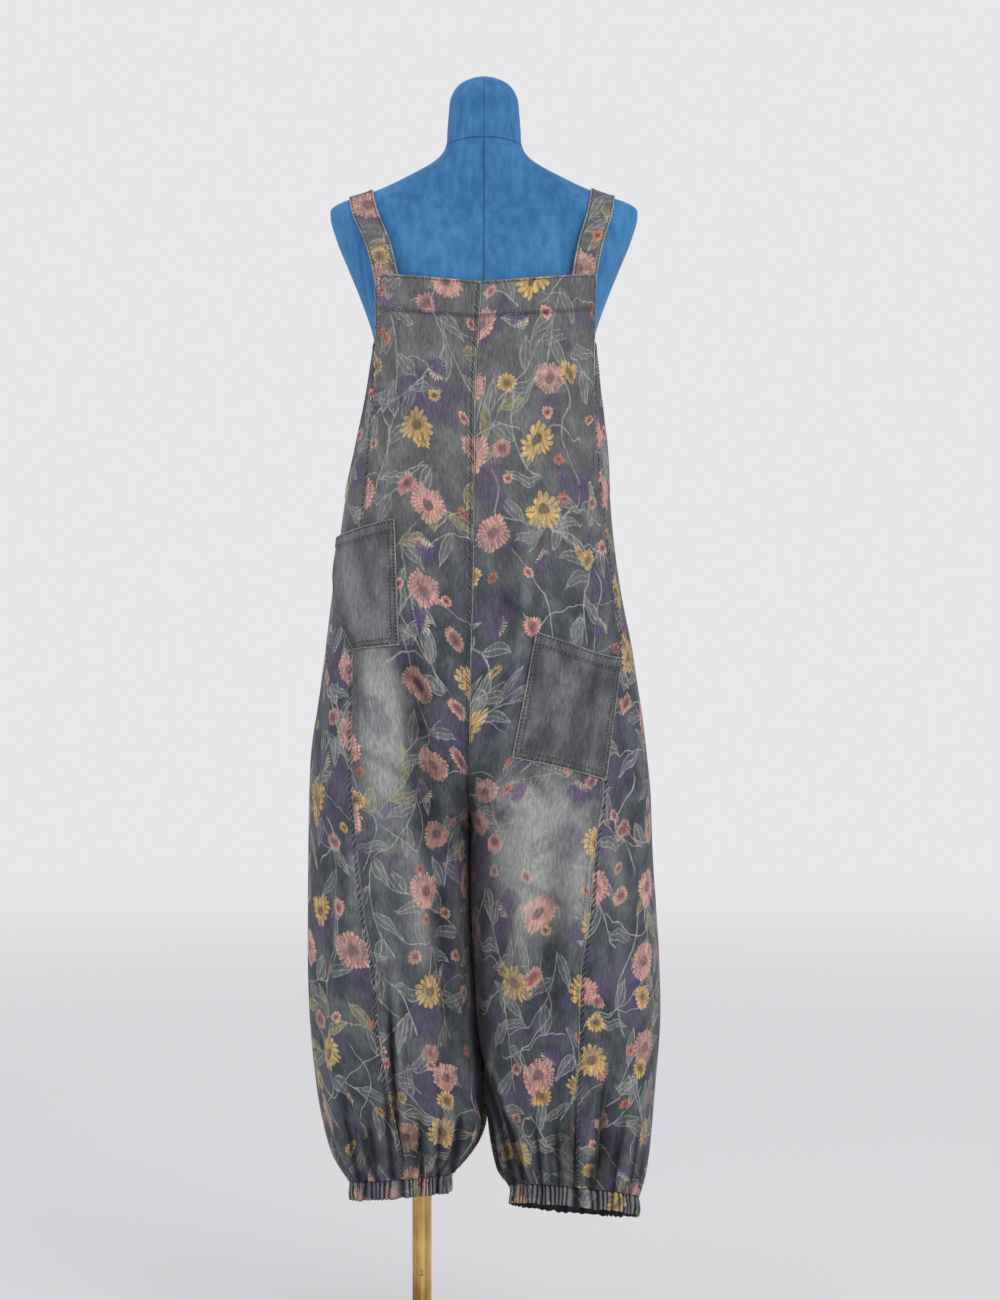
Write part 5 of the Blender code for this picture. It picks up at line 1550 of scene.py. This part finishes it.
straps = {}
for side in (-1, 1):
    below = strap_grid(side)
    along, across = steps_along(below, 0), steps_along(below, 1)
    side_edge = np.minimum(across, across[:, -1:] - across)
    ridge = 0.0003 * band(side_edge, 0.006) + 0.0002 * rope(along, 0.011, 2.0 + side)
    ridge += 0.0005 * bell(np.mod(along, 0.057) - 0.028, 0.003) * np.sin(np.pi * across / STRAP_WIDTH)
    above = below + (STRAP_WALL + ridge)[..., None] * outward(below, side)
    flat = np.stack([across + 9.3 * side, along + 7.0], axis=-1)
    no_seam = np.full(along.shape, FAR)
    # Ridges paler, partly wear and partly painted highlight, and painted shade in the troughs between them.
    looks = {
        "wear": 0.10 + 120 * ridge,
        "edges": np.stack([no_seam, no_seam, side_edge], axis=-1),
        "deep": np.clip(-ridge / 0.0006, 0, 1),
    }
    name = f"strap_{SIDE_NAMES[side]}"
    made = wall(f"cloth_{name}", above, below, flat, (PRINTED, INSIDE_DENIM), **looks)
    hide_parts(name)
    straps[side] = {"outer": above, "across": across, "along": along, "piece": made}
    print(name, "is", round(along[-1].mean(), 3), "m long")

# %% [markdown]
# Stitches
#
# Topstitching is dark thread that dips into the cloth at every stitch. Each stitch is a small rounded rod of
# a few faces, laid along a line at a chosen distance from a seam. All the rods of one garment piece are one
# mesh, made from arrays.

# %% Stitches along lines
STITCH_PITCH = 0.0042
STITCH_LENGTH = 0.0030
STITCH_RADIUS = 0.00042
STITCH_SIDES = 5
# A stitch's four rings: their places in shares of its length, and their radii in shares of its radius.
RING_PLACES, RING_RADII = (-0.5, -0.3, 0.3, 0.5), (0.35, 1.0, 1.0, 0.35)


def line_at(grid, reach, distance):
    """The path down a grid's rows where a value that grows across them equals this distance."""
    column = np.clip((reach < distance).sum(axis=1), 1, reach.shape[1] - 1)
    row = np.arange(len(reach))
    before, after = reach[row, column - 1], reach[row, column]
    t = np.clip((distance - before) / np.maximum(after - before, 1e-9), 0, 1)[:, None]
    return grid[row, column - 1] * (1 - t) + grid[row, column] * t


def read_at(values, along, at):
    """Points or directions given along a path, read at other lengths along it."""
    return np.stack([np.interp(at, along, values[:, k]) for k in range(3)], axis=-1)


def stitches_on(path, normal):
    """Rods a pitch apart along a path: a ring of points at each end and two fatter ones between."""
    step = np.linalg.norm(np.diff(path, axis=0), axis=1)
    along = np.insert(np.cumsum(step), 0, 0)
    at = np.arange(STITCH_PITCH, along[-1] - STITCH_PITCH, STITCH_PITCH)
    centre, up = read_at(path, along, at), read_at(normal, along, at)
    ahead = read_at(path, along, at + 0.001) - centre
    ahead /= np.linalg.norm(ahead, axis=1, keepdims=True)
    up /= np.linalg.norm(up, axis=1, keepdims=True)
    aside = np.cross(ahead, up)
    place = np.array(RING_PLACES)[:, None, None] * STITCH_LENGTH
    fat = np.array(RING_RADII)[:, None, None] * STITCH_RADIUS
    turn = np.linspace(0, 2 * np.pi, STITCH_SIDES, endpoint=False)[None, :, None]
    ring = fat * np.cos(turn) * up[:, None, None] + fat * np.sin(turn) * aside[:, None, None]
    raised = centre + 0.15 * STITCH_RADIUS * up
    return raised[:, None, None] + place * ahead[:, None, None] + ring


def stitch_piece(name, lines):
    """One mesh of all the stitches on these (path, normal) lines."""
    rods = np.concatenate([stitches_on(path, normal) for path, normal in lines])
    count, rings = len(rods), len(RING_PLACES)
    row, column = corner_numbers(rings, STITCH_SIDES, True)
    one = row * STITCH_SIDES + column % STITCH_SIDES
    start = (np.arange(count) * rings * STITCH_SIDES)[:, None]
    quads = (start[:, :, None] + one).reshape(-1, 4)
    ring = np.arange(STITCH_SIDES)
    caps = np.concatenate([start + ring[::-1], start + (rings - 1) * STITCH_SIDES + ring])
    mesh = bpy.data.meshes.new(name)
    mesh.from_pydata(rods.reshape(-1, 3), [], quads[:, ::-1].tolist() + caps[:, ::-1].tolist())
    print(name, "has", count, "stitches")
    return link(name, mesh, (THREAD,))


def thread(name):
    """Dull cotton thread, charcoal with paler worn stretches."""
    graph = Graph(name)
    place = graph.node("TexCoord", out="Object")
    colour = graph.mix(graph.noise(place, 45.0, 2.0), srgb(46, 48, 55), srgb(92, 92, 94))
    return graph.finish(0.8, Base_Color=colour, Normal=graph.bump(graph.noise(place, 2600.0), 0.0002, 0.4))


THREAD = thread("charcoal thread")


def lines_beside(grid, reach, normal, distances):
    """Stitch lines down a grid at these distances from its first edge."""
    return [(line_at(grid, reach, d), line_at(normal, reach, d)) for d in distances]


def from_far_edge(grid, reach, normal):
    """The same grid read from its last column, with its reach measured from there."""
    return grid[:, ::-1], (reach[:, -1:] - reach)[:, ::-1], normal[:, ::-1]


def turned(grid, down, normal):
    """The same grid with rows for columns, so that lines run across it. The reach is now the way down."""
    return grid.swapaxes(0, 1), down.T, normal.swapaxes(0, 1)


NEAR, CENTRE_FAR, OUTSEAM_PAIR = 0.0022, 0.0090, (0.0022, 0.0088)
BIB_ROWS, RIM_ROW = (0.0030, BIB_BAND - 0.0022), (0.0026,)
POCKET_PAIR, POCKET_TOP_PAIR = (0.0018, 0.0082), (0.0025, 0.0130)

for (side, face), made in panels.items():
    grid, start, up = made["outer"], made["start"], made["up"]
    normal = outward(grid, side)
    at_centre = (NEAR if side > 0 else CENTRE_FAR,)
    if face == "back":
        lines = lines_beside(grid, start, normal, at_centre)
        lines += lines_beside(*from_far_edge(grid, start, normal), OUTSEAM_PAIR)
        lines += lines_beside(*turned(grid, up[0] - up, normal), BIB_ROWS)
    else:
        lines = lines_beside(*turned(grid, up[0] - up, normal), RIM_ROW)
        lines += lines_beside(*from_far_edge(grid, start, normal), at_centre)
    stitch_piece(f"stitches_{face}_{SIDE_NAMES[side]}", lines)

for side, made in pockets.items():
    grid, across, normal = made["outer"], made["across"], outward(made["outer"], side)
    lines = lines_beside(grid, across, normal, POCKET_PAIR)
    lines += lines_beside(*from_far_edge(grid, across, normal), POCKET_PAIR)
    crosswise = turned(grid, made["down"], normal)
    lines += lines_beside(*crosswise, POCKET_TOP_PAIR)
    lines += lines_beside(*from_far_edge(*crosswise), POCKET_PAIR)
    stitch_piece(f"stitches_pocket_{SIDE_NAMES[side]}", lines)

for side, made in straps.items():
    grid, across, normal = made["outer"], made["across"], outward(made["outer"], side)
    lines = lines_beside(grid, across, normal, (NEAR,))
    lines += lines_beside(*from_far_edge(grid, across, normal), (NEAR,))
    stitch_piece(f"stitches_strap_{SIDE_NAMES[side]}", lines)

# %% [markdown]
# Brass and steel
#
# The pole is a drawn brass tube: bright, with faint streaks along it and duller patches from hands. Its
# shader also paints reflections into the colour, as light and dark streaks along the tube. The foot and the
# socket are brushed steel, dull and darker. Their solids already have the right shape, so they stay and only
# get these finishes.

# %% The metals


def metal(name, dark, light, stretch, roughness):
    """Polished or brushed metal: streaks along one axis change its colour and its gloss."""
    graph = Graph(name)
    place = graph.node("TexCoord", out="Object")
    streak = graph.noise(graph.stretch(place, stretch), 260.0, 3.0)
    patch = graph.noise(place, 14.0, 3.0)
    colour = graph.mix(graph.soft(streak * 0.5 + patch * 0.5, 0.3, 0.7), dark, light)
    dull = streak * 0.12 + patch * 0.10 + (roughness - 0.11)
    graph.shader.inputs["Metallic"].default_value = 1.0
    return graph.finish(roughness, Base_Color=colour, Roughness=dull, Normal=graph.bump(streak, 0.0001, 0.3))


# The brass's dark and light streaks along the pole are partly the drawn tube's marks and partly painted
# reflections.
BRASS_WITH_PAINTED_REFLECTION = metal("drawn brass", srgb(128, 90, 38), srgb(236, 200, 128), (1.0, 1.0, 0.02), 0.24)
STEEL = metal("brushed steel", srgb(92, 92, 94), srgb(140, 140, 142), (0.15, 1.0, 1.0), 0.40)
for name, finish in (("pole", BRASS_WITH_PAINTED_REFLECTION), ("pole_button", BRASS_WITH_PAINTED_REFLECTION), ("form_socket", STEEL), ("base", STEEL)):
    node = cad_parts[name]
    node.data.materials.clear()
    node.data.materials.append(finish)

# %% [markdown]
# Floor
#
# A pale floor under the stand, wide enough for every view. Towards its rim it turns see-through, so that it
# melts into the world's colour.

# %% The pale floor
FLOOR_RADIUS = 9.0


def pale_floor(name):
    """Matt paint that fades out with the distance from the stand."""
    graph = Graph(name)
    place = graph.node("TexCoord", out="Object")
    reach = graph.node("VectorMath", {"operation": "LENGTH"}, {0: place}, out="Value")
    clear = graph.node("BsdfTransparent")
    shown = graph.soft(reach, FLOOR_RADIUS * 0.95, FLOOR_RADIUS * 0.25)
    graph.shader.inputs["Base Color"].default_value = srgb(234, 233, 234)
    graph.shader.inputs["Roughness"].default_value = 1.0
    graph.shader.inputs["Specular IOR Level"].default_value = 0.0
    both = graph.node("MixShader", {}, {0: shown, 1: clear, 2: Wire(graph, graph.shader.outputs[0])})
    output = graph.tree.nodes["Material Output"]
    graph.feed(output.inputs["Surface"], both)
    return graph.material


turn = np.linspace(0, 2 * np.pi, 96, endpoint=False)
rim = np.stack([FLOOR_RADIUS * np.cos(turn), FLOOR_RADIUS * np.sin(turn), 0 * turn], axis=-1)
mesh = bpy.data.meshes.new("floor")
mesh.from_pydata(rim, [], [list(range(len(turn)))])
mesh.materials.append(pale_floor("pale paint"))
floor = bpy.data.objects.new("floor", mesh)
scene.collection.objects.link(floor)

# %% [markdown]
# What was cut
#
# For each cloth piece the size it was cut to is worked out: for a panel, its widest row and its whole
# length, with the area inside that rectangle that its outline fills.

# %% Flat sizes


def grid_area(grid):
    """The area of a grid's cells, from the cross product of their sides."""
    across, down = np.diff(grid, axis=1)[:-1], np.diff(grid, axis=0)[:, :-1]
    return np.linalg.norm(np.cross(across, down), axis=-1).sum()


for (side, face), made in panels.items():
    width, length = made["start"][:, -1].max(), made["up"][0].max()
    area = min(grid_area(made["outer"]), width * length)
for side in (-1, 1):
    pocket, strap = pockets[side], straps[side]
    size = (pocket["across"][:, -1].max(), pocket["down"][-1].max())
    area = grid_area(pocket["outer"])
    area = min(area, size[0] * size[1])
    size = (STRAP_WIDTH, strap["along"][-1].mean())
